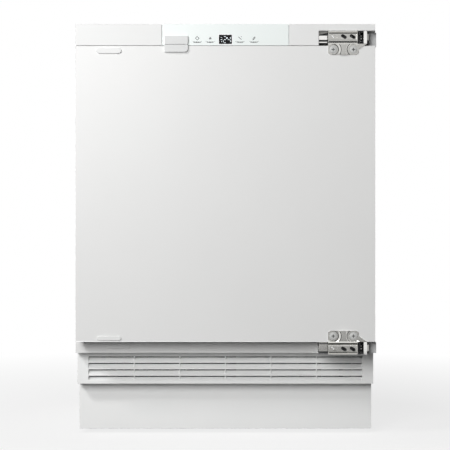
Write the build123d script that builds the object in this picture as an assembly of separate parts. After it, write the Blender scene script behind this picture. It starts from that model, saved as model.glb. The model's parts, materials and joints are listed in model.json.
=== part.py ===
from build123d import *
import math
import os

# Undercounter freezer, closed, standing on its four feet.
# Millimetres. +X right, +Y to the rear, +Z up. Origin: middle of the footprint, on the floor.
# A depth d is counted from the door's front plane towards the rear.

# Overall sizes
WIDTH = 596.0
HEIGHT = 815.0
DEPTH = 550.0
SHEET = 1.0
PLASTIC = 2.2
FIT = 0.3

# Door
DOOR_SIDE_GAP = 5.5
DOOR_THICK = 38.0
DOOR_BOTTOM = 194.3
SEAL_GAP = 10.0
SEAL_SLACK = 0.3
SEAL_WIDTH = 15.0
SEAL_INSET = 26.5
DOOR_CAP = 2.5
PLATEAU_RISE = 14.0
PLATEAU_SIDE_GAP = 14.5
PLATEAU_GAP_BELOW = 30.0
PLATEAU_GAP_ABOVE = 26.0
SEAL_END = 3.0
SEAL_FOOT = 2.0
SEAL_MAGNET = 4.0
SEAL_ROUND = 6.0

# Control band above the door
BAND_HEIGHT = 41.8
PANEL_GAP = 0.8
FASCIA_HALF = 123.7
COVER_GAP = 0.6
PANEL_WALL = 2.3
CUTOUT_LEFT = 115.5
CUTOUT_HEIGHT = 28.7
DISPLAY_WIDTH = 25.3
DISPLAY_HEIGHT = 18.1
DISPLAY_BELOW_TOP = 30.0
DISPLAY_SUNK = 0.3
DISPLAY_FLANGE = 2.0
HOUSING = 3.0
HOUSING_RIB = 2.0
RIB_INSET = 12.0
BOARD = 1.6
BOARD_DEPTH = 13.0
BOARD_HALF = 72.0
BOARD_MARGIN = 1.0
POST_X = 66.0
POST_R = 3.5
POST_MARGIN = 5.0
TOUCH_NEAR = 18.0
TOUCH_FAR = 62.0
TOUCH_HEIGHT = 12.0

# Square tab across the gap between the control band and the door
TAB_FROM_FASCIA = 5.0
TAB_WIDTH = 45.7
TAB_TOP = 23.4
TAB_SEAM = 39.9
TAB_BOTTOM = 55.0
TAB_RISE = 4.0
TAB_FOOT = 0.5
TAB_CORNER_R = 7.0

# Front rail, grille and plinth under the door
RAIL_TOP = 191.0
RAIL_BOTTOM = 168.0
RAIL_PLUG_SIDE = 83.5
RAIL_PLUG_DROP = 10.4
RAIL_PLUG_LENGTH = 50.0
RAIL_PLUG_HEIGHT = 7.4
RAIL_PLUG_RISE = 1.6
PLUG_EDGE = 3.0
GRILLE_BOTTOM = 103.6
GRILLE_SETBACK = 28.0
GRILLE_DEPTH = 20.0
GRILLE_SIDE = 0.8
GRILLE_FRAME = 6.0
SLOT_FIELD_SIDE = 22.0
SLOT_COLUMNS = 6
SLOT_ROWS = 4
SLOT_PITCH = 13.0
SLOT_GAP = 4.2
SLOT_TOP_MARGIN = 9.8
BLADE = 2.0
BLADE_REACH = 8.0
BLADE_LAP = 1.5
BLADE_LIP = 2.2
GRILLE_SILL = 4.0
RIB = 2.2
RIB_SETBACK = 2.5
RIB_DEPTH = 12.0
PLINTH_SETBACK = 60.0
PLINTH_DEPTH = 16.0
PLINTH_BOTTOM = 8.5
PLINTH_SIDE = 1.5
CLIP_HALF = 12.0
CLIP = 1.5
CLIP_REACH = 8.0
CLIP_HEIGHT = 10.0
CLIP_PAD = 4.0

# Freezer compartment
INSULATION = 55.0
LINER = 2.0
FRAME_LIP = 7.0
CAVITY_BOTTOM = 217.0
TOP_INSULATION = 70.0
BACK_INSULATION = 55.0
BAY_DEPTH = 190.0
BAY_TOP = 300.0
HUMP_INSULATION = 43.0
LEDGE = 9.0
LEDGE_HEIGHT = 6.0
SHELF_LEVELS = (169.0, 345.0)
SHELF_THICK = 1.6
SHELF_TUBE_R = 3.5
SHELF_TUBES = 8
SHELF_TUBE_INSET = 30.0
SHELF_SETBACK = 38.0
SENSOR_R = 3.0
SENSOR_LENGTH = 40.0

# Drawers
DRAWER_SIDE_GAP = 31.0
DRAWER_WALL = 2.5
DRAWER_FRONT = 3.0
DRAWER_SETBACK = 20.0
DRAWER_GRIP = 14.0
GRIP_WALL = 2.5
GRIP_INSET = 62.0
GRIP_HEIGHT = 22.0
GRIP_DROP = 6.0
DRAWER_REST = 0.4
DRAWER_HEADROOM = 12.0
DRAWER_BACK_GAP = 8.0
DRAWER_RIM = 4.0
DRAWER_RIM_HEIGHT = 3.0
DRAWER_ROUND = 8.0

# Base with its machinery
BASE_Z = 18.0
PAN = 1.5
PAN_LIP = 16.0
FOOT_SIDE = 26.0
FOOT_FRONT = 188.0
FOOT_REAR = 20.0
FOOT_DISC_R = 19.0
FOOT_DISC = 8.0
FOOT_HEXAGON_R = 9.5
STEM_R = 5.0
STEM_CLEAR = 0.08
FOOT_TRAVEL = 50.0
BUSH_R = 11.0
BUSH_FLANGE_R = 15.0
BUSH_FLANGE = 4.0
BUSH_LENGTH = 16.0
DIVIDER_X = 20.0
DIVIDER = 2.0
CONDENSER_SIDE = 50.0
CONDENSER_SETBACK = 26.0
CONDENSER_DEPTH = 44.0
CONDENSER_TOP_GAP = 8.0
CONDENSER_GAP = 20.0
CONDENSER_TUBE_R = 3.5
CONDENSER_ROWS = 7
CONDENSER_FIRST_ROW = 12.5
CONDENSER_ROW_PITCH = 20.0
FINS = 16
FIN = 1.0
STUB = 6.0
DISCHARGE_SIDE = 73.0
LIQUID_SIDE = 58.0
FAN_X = -125.0
FAN_HOLE_R = 62.0
FAN_R = 56.0
FAN_PLANE = 216.0
FAN_SHROUD = 3.0
FAN_RING = 14.0
FAN_BLADES = 5
FAN_BLADE = 1.6
FAN_CHORD = 24.0
FAN_PITCH_ANGLE = 32.0
HUB_R = 15.0
MOTOR_R = 22.0
MOTOR_LENGTH = 36.0
MOTOR_ARM = 4.0
SHAFT_R = 2.5
SHAFT_CLEAR = 0.05
SHAFT_LENGTH = 22.0
COMPRESSOR_X = -100.0
COMPRESSOR_R = 72.0
COMPRESSOR_HEIGHT = 165.0
CAN_TOP_ROUND = 34.0
CAN_FOOT_ROUND = 20.0
SEAM_HEIGHT = 84.0
SEAM = 4.0
SEAM_RISE = 3.0
PLATE = 3.0
PLATE_HALF = (100.0, 60.0)
SADDLE_HALF = 40.0
SADDLE = 8.0
GROMMET = 12.0
GROMMET_R = 10.0
GROMMET_NECK_R = 5.0
GROMMET_COLLAR_R = 8.0
GROMMET_COLLAR = 4.0
GROMMET_SPACING = (85.0, 48.0)
RELAY_BOX = (42.0, 48.0, 50.0)
RELAY_BOX_UP = 30.0
DRIER_R = 9.0
DRIER_LENGTH = 100.0
DRIER_GAP = 74.0
GAS_TUBE_R = 3.0
CAPILLARY_R = 2.0
SUCTION_R = 4.0
TUBE_BEND = 18.0
SUCTION_BEND = 22.0

# Rear cover and mains inlet
LOUVRE_LENGTH = 110.0
LOUVRE_WIDTH = 7.0
LOUVRE_PITCH = 20.0
INLET_SIDE = 98.0
INLET_UP = 62.0
INLET_BODY = (50.0, 22.0, 36.0)
INLET_NECK = (34.0, 26.0)
SOCKET = (24.0, 16.0, 16.0)
BLADE_PITCH = 7.0
BLADE_SIZE = (2.0, 14.0, 5.0)

# Blanking covers on the door: width and height of the upper and the lower one
DOOR_PLUG_SIDE = 70.7
DOOR_PLUG_UPPER = (48.6, 11.1)
DOOR_PLUG_LOWER = (47.6, 8.6)
DOOR_PLUG_DROP = 9.6
DOOR_PLUG_RISE = 6.7
DOOR_PLUG_PROUD = 2.2
STUD_STEP = 16.0
STUD_R = 2.0

# Hinges: pivots in plan, as the distance in from the cabinet's right side and the depth
PIVOT_A = (20.5, 20.0)
PIVOT_B = (23.16, 12.0)
PIVOT_C = (35.66, 4.61)
PIVOT_D = (50.61, 5.85)
PIN_R = 2.0
PIN_CLEAR = 0.05
OPEN_PIVOT_CLEAR = 0.6
PIN_HEAD_R = 3.2
PIN_HEAD = 0.7
HINGE_PLATE = 1.4
HINGE_GAP = 0.4
CONTROL_HALF = 5.3
LEAF_HALF = 11.5
LEAF_PLATE = 1.0
LEAF_SHEET = 1.2
LEAF_LEFT = 97.6
LEAF_RIGHT = 40.2
HINGE_ABOVE_DOOR = 16.6
HINGE_BELOW_DOOR = 12.6
EAR_SCREWS = (87.5, 48.0)
EAR_R = 10.3
EAR_DROP = 24.0
EAR_CORNER_R = 4.5
POCKET_R = 14.5
POCKET_FOOT_R = 10.6
POCKET_WALL = 2.0
SCREW_HEAD_R = 8.0
SCREW_HEAD = 4.5
SCREW_R = 2.5
SCREW_LENGTH = 14.0
CROSS = 6.8
CROSS_DEPTH = 1.6
ARM_LEFT = 114.5
ARM_RIGHT = 16.0
ARM_FLANGE = 20.0
ARM_WALL = 1.8
ARM_TALL = 12.0
ARM_TALL_LENGTH = 56.0
ARM_BAR_LENGTH = 34.0
ARM_BAR_HEIGHT = 8.9
ARM_BAR_DEPTH = 14.0
ARM_EYE_R = 4.2
ARM_SCREW_HEAD_R = 4.6
ARM_SCREW_HEAD = 3.0
ARM_SCREW_SHARES = (0.12, 0.42, 0.72)
LINK_EYE_R = 4.0
CONTROL_EYE_R = 3.8
CONTROL_BAR = 4.4
STRAP = (28.0, 21.5)
STRAP_SIDE = 17.5
STRAP_PROUD = 1.5
STRAP_HALF = 12.2
STRAP_BEND = 4.0
STRAP_END = 7.5
LEAF_LIP = 1.2
LEAF_LIP_DEPTH = 4.5
LEAF_SLOTS = (87.0, 67.0, 50.0)
LEAF_SLOT = (12.0, 6.4)
LEAF_SLOT_ANGLE = -32.0
LEAF_SLOT_RISE = 0.9

# The leaf's pressed section: height from the hinge's middle, away from the ears, and rise from the door
LEAF_SECTION = (
    (11.5, 3.4), (10.6, 4.2), (9.9, 4.2), (8.9, 3.0), (8.0, 4.4), (7.0, 4.8),
    (-5.4, 4.8), (-6.9, 4.3), (-8.7, 2.4), (-10.4, 3.9), (-13.4, 3.9),
)

# Worked-out places
HALF = WIDTH / 2
FRONT = -(DEPTH - LEAF_PLATE - SCREW_HEAD) / 2
CABINET = DOOR_THICK + SEAL_GAP
DOOR_HALF = HALF - DOOR_SIDE_GAP
PANEL_BOTTOM = HEIGHT - BAND_HEIGHT
DOOR_TOP = PANEL_BOTTOM - PANEL_GAP
CAVITY_TOP = HEIGHT - TOP_INSULATION
INNER = HALF - SHEET
CAVITY_HALF = HALF - INSULATION
CAVITY_BACK = DEPTH - BACK_INSULATION
FRAME_HALF = CAVITY_HALF + FRAME_LIP
FRAME_LOW = CAVITY_BOTTOM - FRAME_LIP
FRAME_HIGH = CAVITY_TOP + FRAME_LIP
BAY_FRONT = DEPTH - BAY_DEPTH
HUMP_FRONT = BAY_FRONT - HUMP_INSULATION
HUMP_TOP = BAY_TOP + HUMP_INSULATION
GRILLE_FRONT = CABINET + GRILLE_SETBACK
GRILLE_BACK = GRILLE_FRONT + GRILLE_DEPTH
PLINTH_FRONT = CABINET + PLINTH_SETBACK
PLINTH_BACK = PLINTH_FRONT + PLINTH_DEPTH
PAN_TOP = BASE_Z + PAN
CONDENSER_FRONT = PLINTH_BACK + CONDENSER_SETBACK
CONDENSER_BACK = CONDENSER_FRONT + CONDENSER_DEPTH
ARM_FACE = CABINET - ARM_WALL
PANEL_BACK = CABINET - HOUSING
UPPER_HINGE_Z = DOOR_TOP + HINGE_ABOVE_DOOR
LOWER_HINGE_Z = DOOR_BOTTOM - HINGE_BELOW_DOOR
SEAL_HALF = DOOR_HALF - SEAL_INSET
SHELF_FRONT = CABINET + SHELF_SETBACK
SHELF_HEIGHTS = tuple(CAVITY_BOTTOM + level for level in SHELF_LEVELS)
DRAWER_HALF = CAVITY_HALF - DRAWER_SIDE_GAP
DRAWER_FACE = CABINET + DRAWER_SETBACK
LEAF_LAYER = CONTROL_HALF + HINGE_GAP
ARM_LAYER = LEAF_LAYER + HINGE_PLATE + HINGE_GAP
LINK_LAYER = ARM_LAYER + HINGE_PLATE + HINGE_GAP


def block(x, d, z):
    """A box between two x values, two depths and two heights."""
    middle = Pos((x[0] + x[1]) / 2, FRONT + (d[0] + d[1]) / 2, (z[0] + z[1]) / 2)
    return middle * Box(x[1] - x[0], d[1] - d[0], z[1] - z[0])


def mirrored(shape):
    """The same shape on the other side of the cabinet."""
    return mirror(shape, Plane.YZ)


def plan_face(points):
    """A flat outline seen from above, from points (x, depth)."""
    return make_face(Polyline([(x, FRONT + d) for x, d in points], close=True))


def plan_disc(x, d, r):
    return Pos(x, FRONT + d) * Circle(r)


def raise_plan(sketch, z0, z1):
    return extrude(Pos(0, 0, z0) * sketch, z1 - z0)


def side_profile(points, x0, x1):
    """An outline seen from the side, from points (depth, z), extruded between two x values."""
    face = make_face(Polyline([Vector(x0, FRONT + d, z) for d, z in points], close=True))
    return extrude(face, x1 - x0, dir=(1, 0, 0))


def front_face(sketch, d0, d1):
    """A sketch drawn as seen from the front, x and z, extruded between two depths."""
    plane = Plane(origin=(0, FRONT + d1, 0), x_dir=(1, 0, 0), z_dir=(0, -1, 0))
    return extrude(plane * sketch, d1 - d0)


def upright(x, d, z0, z1, r):
    return Pos(x, FRONT + d, (z0 + z1) / 2) * Cylinder(r, z1 - z0)


def along_depth(x, z, d0, d1, r):
    return Pos(x, FRONT + (d0 + d1) / 2, z) * Rot(90, 0, 0) * Cylinder(r, d1 - d0)


def across(d, z, x0, x1, r):
    return Pos((x0 + x1) / 2, FRONT + d, z) * Rot(0, 90, 0) * Cylinder(r, x1 - x0)


def pivot(offset):
    """A pivot's place in plan, as (x, depth)."""
    return HALF - offset[0], offset[1]


def save(node, *shapes):
    solids = []
    for shape in shapes:
        solids += list(shape.solids())
    whole = solids[0] if len(solids) == 1 else Compound(children=solids)
    export_step(whole, f"parts/{node}.step")


def shell_sides():
    """The steel side walls, stepped back over the grille and the plinth."""
    outline = [
        (CABINET, HEIGHT), (DEPTH, HEIGHT), (DEPTH, BASE_Z), (PLINTH_BACK, BASE_Z),
        (PLINTH_BACK, GRILLE_BOTTOM), (GRILLE_BACK, GRILLE_BOTTOM), (GRILLE_BACK, RAIL_BOTTOM),
        (CABINET + SHEET, RAIL_BOTTOM), (CABINET + SHEET, RAIL_TOP), (CABINET, RAIL_TOP),
    ]
    right = side_profile(outline, INNER, HALF)
    return right, mirrored(right)


def outer_shell():
    right, left = shell_sides()
    top = block((-HALF, HALF), (CABINET, DEPTH), (HEIGHT - SHEET, HEIGHT))
    ring = block((-HALF, HALF), (CABINET, CABINET + SHEET), (RAIL_TOP, HEIGHT))
    ring -= block((-FRAME_HALF, FRAME_HALF), (CABINET - 1, CABINET + SHEET + 1), (FRAME_LOW, FRAME_HIGH))
    ring -= arm_screw_holes(UPPER_HINGE_Z)
    return top + ring + right + left


def arm_screw_places():
    reach = LEAF_LEFT - ARM_RIGHT
    return [HALF - ARM_RIGHT - reach * share for share in ARM_SCREW_SHARES]


def arm_screw_holes(z):
    return [along_depth(x, z, CABINET - 5, CABINET + SHEET + 1, SCREW_R) for x in arm_screw_places()]


def rail_plug_place():
    return -(HALF - RAIL_PLUG_SIDE), RAIL_TOP - RAIL_PLUG_DROP


def rail_plug_stud():
    x, z = rail_plug_place()
    return Pos(x, z) * SlotOverall(RAIL_PLUG_LENGTH - 2 * PLUG_EDGE, RAIL_PLUG_HEIGHT - PLUG_EDGE)


def lower_rail():
    """The steel rail under the door, with a sill that runs back over the grille."""
    front = block((-HALF, HALF), (CABINET, CABINET + SHEET), (RAIL_BOTTOM, RAIL_TOP))
    sill = block((-INNER, INNER), (CABINET + SHEET, GRILLE_BACK), (RAIL_BOTTOM, RAIL_BOTTOM + SHEET))
    front -= front_face(rail_plug_stud(), CABINET - 1, CABINET + SHEET + 1)
    front -= arm_screw_holes(LOWER_HINGE_Z)
    return front + sill


def rail_plug():
    x, z = rail_plug_place()
    outline = Pos(x, z) * SlotOverall(RAIL_PLUG_LENGTH, RAIL_PLUG_HEIGHT)
    head = front_face(outline, CABINET - RAIL_PLUG_RISE, CABINET)
    head = fillet(head.faces().sort_by(Axis.Y)[0].edges(), RAIL_PLUG_RISE / 2)
    return head + front_face(rail_plug_stud(), CABINET, CABINET + SHEET)


def bottom_plate():
    """The sheet under the insulation, raised over the machine compartment."""
    low = RAIL_BOTTOM + SHEET
    outline = [
        (CABINET + SHEET, low), (BAY_FRONT, low), (BAY_FRONT, BAY_TOP - SHEET),
        (DEPTH - SHEET, BAY_TOP - SHEET), (DEPTH - SHEET, BAY_TOP), (BAY_FRONT - SHEET, BAY_TOP),
        (BAY_FRONT - SHEET, low + SHEET), (CABINET + SHEET, low + SHEET),
    ]
    return side_profile(outline, -INNER, INNER)


def liner_outline(grow):
    """The compartment's side outline, grown outwards by a wall."""
    low, high, back = CAVITY_BOTTOM - grow, CAVITY_TOP + grow, CAVITY_BACK + grow
    return [
        (CABINET + SHEET, low), (HUMP_FRONT - grow, low), (HUMP_FRONT - grow, HUMP_TOP - grow),
        (back, HUMP_TOP - grow), (back, high), (CABINET + SHEET, high),
    ]


def liner_envelope():
    return side_profile(liner_outline(LINER), -CAVITY_HALF - LINER, CAVITY_HALF + LINER)


def liner_hump_outline():
    low, high = CAVITY_BOTTOM, CAVITY_TOP
    return [
        (CABINET - 1, low), (HUMP_FRONT, low), (HUMP_FRONT, HUMP_TOP), (CAVITY_BACK, HUMP_TOP),
        (CAVITY_BACK, high), (CABINET - 1, high),
    ]


def inner_liner():
    """The moulded liner with its front lip and the ledges that carry the shelves."""
    shell = liner_envelope()
    shell += block((-FRAME_HALF, FRAME_HALF), (CABINET, CABINET + SHEET), (FRAME_LOW, FRAME_HIGH))
    shell -= side_profile(liner_hump_outline(), -CAVITY_HALF, CAVITY_HALF)
    for z in SHELF_HEIGHTS:
        ledge = block((CAVITY_HALF - LEDGE, CAVITY_HALF), (SHELF_FRONT, CAVITY_BACK), (z - LEDGE_HEIGHT, z))
        shell += ledge + mirrored(ledge)
    return shell


def cabinet_foam():
    low = RAIL_BOTTOM + 2 * SHEET
    outline = [
        (CABINET + SHEET, low), (BAY_FRONT - SHEET, low), (BAY_FRONT - SHEET, BAY_TOP),
        (DEPTH - SHEET, BAY_TOP),
        (DEPTH - SHEET, HEIGHT - SHEET), (CABINET + SHEET, HEIGHT - SHEET),
    ]
    return side_profile(outline, -INNER, INNER) - liner_envelope() - shell_screw_room()


def shell_screw_room():
    """Room in the foam for the hinge arm screws."""
    room = []
    for z in (UPPER_HINGE_Z, LOWER_HINGE_Z):
        for x in arm_screw_places():
            room.append(along_depth(x, z, CABINET, CABINET + SCREW_LENGTH, SCREW_R))
    return room


def back_panel():
    return block((-INNER, INNER), (DEPTH - SHEET, DEPTH), (BAY_TOP, HEIGHT - SHEET))


def inlet_place():
    return HALF - INLET_SIDE, BASE_Z + INLET_UP


def louvre_places():
    """The louvres' x values, from the left side up to the mains inlet."""
    left = -INNER + 4 * LOUVRE_PITCH
    right = HALF - INLET_SIDE - INLET_BODY[0]
    return [left + n * LOUVRE_PITCH for n in range(int((right - left) / LOUVRE_PITCH))]


def rear_compartment_cover():
    """The louvred cover of the machine compartment, with the inlet's window."""
    low, high = PAN_TOP + PAN_LIP, BAY_TOP - SHEET
    cover = block((-INNER, INNER), (DEPTH - SHEET, DEPTH), (low, high))
    slot = Rotation(0, 0, 90) * SlotOverall(LOUVRE_LENGTH, LOUVRE_WIDTH)
    holes = [Pos(x, (low + high) / 2) * slot for x in louvre_places()]
    x, z = inlet_place()
    window = Pos(x, z) * Rectangle(*INLET_NECK)
    return cover - front_face(Sketch() + holes + window, DEPTH - SHEET - 1, DEPTH + 1)


def around(x, size):
    """The two ends of a size centred on x."""
    return x - size / 2, x + size / 2


def power_inlet():
    """The mains inlet behind the rear cover: a socket body with three blades."""
    x, z = inlet_place()
    back = DEPTH - SHEET
    floor = DEPTH - SOCKET[1]
    body = block(around(x, INLET_BODY[0]), (back - INLET_BODY[1], back), around(z, INLET_BODY[2]))
    body += block(around(x, INLET_NECK[0]), (back, DEPTH), around(z, INLET_NECK[1]))
    body -= block(around(x, SOCKET[0]), (floor, DEPTH + 1), around(z, SOCKET[2]))
    for step in (-BLADE_PITCH, 0, BLADE_PITCH):
        deep = (floor, floor + BLADE_SIZE[1])
        body += block(around(x + step, BLADE_SIZE[0]), deep, around(z, BLADE_SIZE[2]))
    return body


def foot_places():
    x = HALF - FOOT_SIDE
    return [(side * x, d) for d in (FOOT_FRONT, DEPTH - FOOT_REAR) for side in (-1, 1)]


def grommet_places():
    d = compressor_depth()
    step_x, step_d = GROMMET_SPACING
    return [(COMPRESSOR_X + sx * step_x, d + sd * step_d) for sx in (-1, 1) for sd in (-1, 1)]


def base_frame():
    """The base pan between the side walls, with its lips and the holes of the foot bushes."""
    lip = (PAN_TOP, PAN_TOP + PAN_LIP)
    pan = block((-INNER, INNER), (PLINTH_BACK, DEPTH), (BASE_Z, PAN_TOP))
    pan += block((-INNER, INNER), (PLINTH_BACK, PLINTH_BACK + PAN), lip)
    pan += block((-INNER, INNER), (DEPTH - PAN, DEPTH), lip)
    for x, d in foot_places():
        pan -= upright(x, d, BASE_Z - 1, PAN_TOP + 1, BUSH_R)
    return pan


def foot_bushes():
    bushes = []
    for x, d in foot_places():
        bush = upright(x, d, BASE_Z, BASE_Z + BUSH_LENGTH, BUSH_R)
        bush += upright(x, d, BASE_Z - BUSH_FLANGE, BASE_Z, BUSH_FLANGE_R)
        bush -= upright(x, d, 0, BASE_Z + BUSH_LENGTH + 1, STEM_R + STEM_CLEAR)
        bushes.append(bush)
    return bushes


def foot(x, d):
    """A levelling foot: a disc, a hexagon for the spanner and a stem in its bush."""
    disc = upright(x, d, 0, FOOT_DISC, FOOT_DISC_R)
    disc = chamfer(disc.edges().group_by(Axis.Z)[0], 1.5)
    top = BASE_Z - BUSH_FLANGE - FIT
    hexagon = extrude(Pos(x, FRONT + d, FOOT_DISC) * RegularPolygon(FOOT_HEXAGON_R, 6), top - FOOT_DISC)
    stem = upright(x, d, FOOT_DISC, BASE_Z + BUSH_LENGTH + FOOT_TRAVEL, STEM_R)
    return disc + hexagon + stem


def plinth_panel():
    """The smooth plinth: a front wall with returns all round."""
    half = HALF - PLINTH_SIDE
    top = GRILLE_BOTTOM - FIT
    panel = block((-half, half), (PLINTH_FRONT, PLINTH_BACK - FIT), (PLINTH_BOTTOM, top))
    panel -= block((-half + PLASTIC, half - PLASTIC), (PLINTH_FRONT + PLASTIC, PLINTH_BACK),
                   (PLINTH_BOTTOM + PLASTIC, top - PLASTIC))
    deep = (PLINTH_FRONT + PLASTIC, PLINTH_FRONT + CLIP_REACH)
    for x in clip_places():
        panel += block(around(x, 2 * CLIP_HALF + CLIP_PAD), deep, (PAN_TOP, PAN_TOP + CLIP_HEIGHT))
    return panel


def clip_places():
    return [-0.6 * HALF, 0.6 * HALF]


def plinth_clips():
    """Spring clips that hook the plinth to the lip of the base pan."""
    clips = []
    start = PLINTH_FRONT + CLIP_REACH
    for x in clip_places():
        wide = (x - CLIP_HALF, x + CLIP_HALF)
        clip = block(wide, (start, PLINTH_BACK), (PAN_TOP, PAN_TOP + CLIP))
        clip += block(wide, (start, start + CLIP), (PAN_TOP, PAN_TOP + CLIP_HEIGHT))
        clip += block(wide, (PLINTH_BACK - CLIP, PLINTH_BACK), (PAN_TOP, PAN_TOP + PAN_LIP))
        clips.append(clip)
    return clips


def slot_rows():
    """Heights of the lower front edge of each louvre gap."""
    first = RAIL_BOTTOM - SLOT_TOP_MARGIN - SLOT_GAP
    return [first - row * SLOT_PITCH for row in range(SLOT_ROWS)]


def vent_grille():
    """The louvred grille: a frame, upright ribs and blades that slope back and up."""
    half = HALF - GRILLE_SIDE
    top = RAIL_BOTTOM - FIT
    grille = block((-half, half), (GRILLE_FRONT, GRILLE_BACK), (GRILLE_BOTTOM, top))
    field = half - SLOT_FIELD_SIDE
    low = GRILLE_BOTTOM + GRILLE_SILL
    high = slot_rows()[0] + SLOT_GAP
    grille -= block((-half + PLASTIC, half - PLASTIC), (GRILLE_FRONT + GRILLE_FRAME, GRILLE_BACK + 1),
                    (GRILLE_BOTTOM + PLASTIC, top - PLASTIC))
    grille -= block((-field, field), (GRILLE_FRONT - 1, GRILLE_FRONT + GRILLE_FRAME + 1), (low, high))
    blade_height = SLOT_PITCH - SLOT_GAP
    for z in slot_rows():
        foot, head = max(z - blade_height, low), z + BLADE_LAP
        reach = GRILLE_FRONT + BLADE_REACH
        outline = [(GRILLE_FRONT, foot), (GRILLE_FRONT + BLADE, foot), (reach + BLADE, head),
                   (reach, head), (GRILLE_FRONT, foot + BLADE_LIP)]
        grille += side_profile(outline, -field - 1, field + 1)
    pitch = 2 * field / SLOT_COLUMNS
    for column in range(1, SLOT_COLUMNS):
        x = -field + column * pitch
        deep = (GRILLE_FRONT + RIB_SETBACK, GRILLE_FRONT + RIB_DEPTH)
        grille += block(around(x, RIB), deep, (low - 1, high + 1))
    return grille


def air_divider():
    """The upright sheet that keeps the fan's intake apart from its outlet."""
    wide = (DIVIDER_X, DIVIDER_X + DIVIDER)
    return block(wide, (PLINTH_BACK + PAN, BAY_FRONT), (PAN_TOP, RAIL_BOTTOM + SHEET))


def fan_height():
    return (PAN_TOP + RAIL_BOTTOM + SHEET) / 2


def condenser_rows():
    """Heights of the condenser's rows of tubes, from the bottom up."""
    first = PAN_TOP + CONDENSER_FIRST_ROW
    return [first + row * CONDENSER_ROW_PITCH for row in range(CONDENSER_ROWS)]


def discharge_place():
    return -(HALF - DISCHARGE_SIDE), condenser_rows()[2]


def liquid_place():
    return -(HALF - LIQUID_SIDE), condenser_rows()[1]


def condenser():
    """A finned condenser: upright fins on rows of tubes, with its two ends facing the rear."""
    left, right = -(HALF - CONDENSER_SIDE), DIVIDER_X - CONDENSER_GAP
    end = 4 * FIN
    pitch = (right - left - 2 * end) / (FINS - 1)
    core = None
    for n in range(FINS):
        wide = around(left + end + n * pitch, FIN)
        fin = block(wide, (CONDENSER_FRONT, CONDENSER_BACK), (PAN_TOP, RAIL_BOTTOM - CONDENSER_TOP_GAP))
        core = fin if core is None else core + fin
    rear = CONDENSER_BACK - CONDENSER_DEPTH / 4
    for z in condenser_rows():
        for d in (CONDENSER_FRONT + CONDENSER_DEPTH / 4, rear):
            core += across(d, z, left, right, CONDENSER_TUBE_R)
    for x, z in (discharge_place(), liquid_place()):
        core += along_depth(x, z, rear, CONDENSER_BACK + STUB, CONDENSER_TUBE_R)
    return core


def fan_shroud():
    """The upright plate round the fan, from the side wall to the divider."""
    back = FAN_PLANE + FAN_SHROUD
    shroud = block((-INNER, DIVIDER_X), (FAN_PLANE, back), (PAN_TOP, RAIL_BOTTOM + SHEET))
    z = fan_height()
    shroud += along_depth(FAN_X, z, back, FAN_PLANE + FAN_RING, FAN_HOLE_R + FAN_SHROUD)
    shroud -= along_depth(FAN_X, z, FAN_PLANE - 1, FAN_PLANE + FAN_RING + 1, FAN_HOLE_R)
    for x, height in (discharge_place(), liquid_place()):
        shroud -= along_depth(x, height, FAN_PLANE - 1, back + 1, GAS_TUBE_R + 1.5)
    return shroud


def fan_motor():
    """The fan's motor on three arms that reach the shroud ring."""
    z = fan_height()
    face = FAN_PLANE + FAN_RING
    body = face + MOTOR_ARM
    motor = along_depth(FAN_X, z, body, body + MOTOR_LENGTH, MOTOR_R)
    motor = fillet(motor.edges().group_by(Axis.Y)[-1], MOTOR_R / 4)
    reach = FAN_HOLE_R + FAN_SHROUD
    for n in range(3):
        turn = Pos(FAN_X, FRONT + (face + body) / 2, z) * Rot(0, 90 + 120 * n, 0)
        motor += turn * Pos(reach / 2, 0, 0) * Box(reach, MOTOR_ARM, 2 * MOTOR_ARM)
    motor += along_depth(FAN_X, z, face, body, MOTOR_R - MOTOR_ARM)
    motor -= along_depth(FAN_X, z, face - 1, face + SHAFT_LENGTH, SHAFT_R + SHAFT_CLEAR)
    return motor


def fan_rotor():
    """The rotor: a hub, pitched blades and the shaft that turns in the motor."""
    z = fan_height()
    front, back = FAN_PLANE - 2, FAN_PLANE + FAN_RING - 2
    rotor = along_depth(FAN_X, z, front, back, HUB_R)
    root = HUB_R - 5
    length = FAN_R - root
    for n in range(FAN_BLADES):
        place = Pos(root + length / 2, 0, 0) * Rot(FAN_PITCH_ANGLE, 0, 0)
        blade = place * Box(length, FAN_BLADE, FAN_CHORD)
        rotor += Pos(FAN_X, FRONT + (front + back) / 2, z) * Rot(0, 360 / FAN_BLADES * n, 0) * blade
    return rotor + along_depth(FAN_X, z, back, back + SHAFT_LENGTH, SHAFT_R)


def compressor_depth():
    return BAY_FRONT + BAY_DEPTH / 2


def compressor():
    """The hermetic compressor: a domed can with its weld seam, on a mounting plate."""
    d = compressor_depth()
    low = PAN_TOP + GROMMET
    can = upright(COMPRESSOR_X, d, low + SADDLE / 2, low + COMPRESSOR_HEIGHT, COMPRESSOR_R)
    can = fillet(can.edges().group_by(Axis.Z)[-1], CAN_TOP_ROUND)
    can = fillet(can.edges().group_by(Axis.Z)[0], CAN_FOOT_ROUND)
    can += upright(COMPRESSOR_X, d, low + SEAM_HEIGHT, low + SEAM_HEIGHT + SEAM, COMPRESSOR_R + SEAM_RISE)
    half_x, half_d = PLATE_HALF
    wide = (COMPRESSOR_X - half_x, COMPRESSOR_X + half_x)
    plate = block(wide, (d - half_d, d + half_d), (low, low + PLATE))
    plate += block(around(COMPRESSOR_X, 2 * SADDLE_HALF), around(d, 2 * SADDLE_HALF), (low, low + SADDLE))
    plate = plate - [upright(x, y, low - 1, low + PLATE + 1, GROMMET_NECK_R) for x, y in grommet_places()]
    return can + plate


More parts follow.
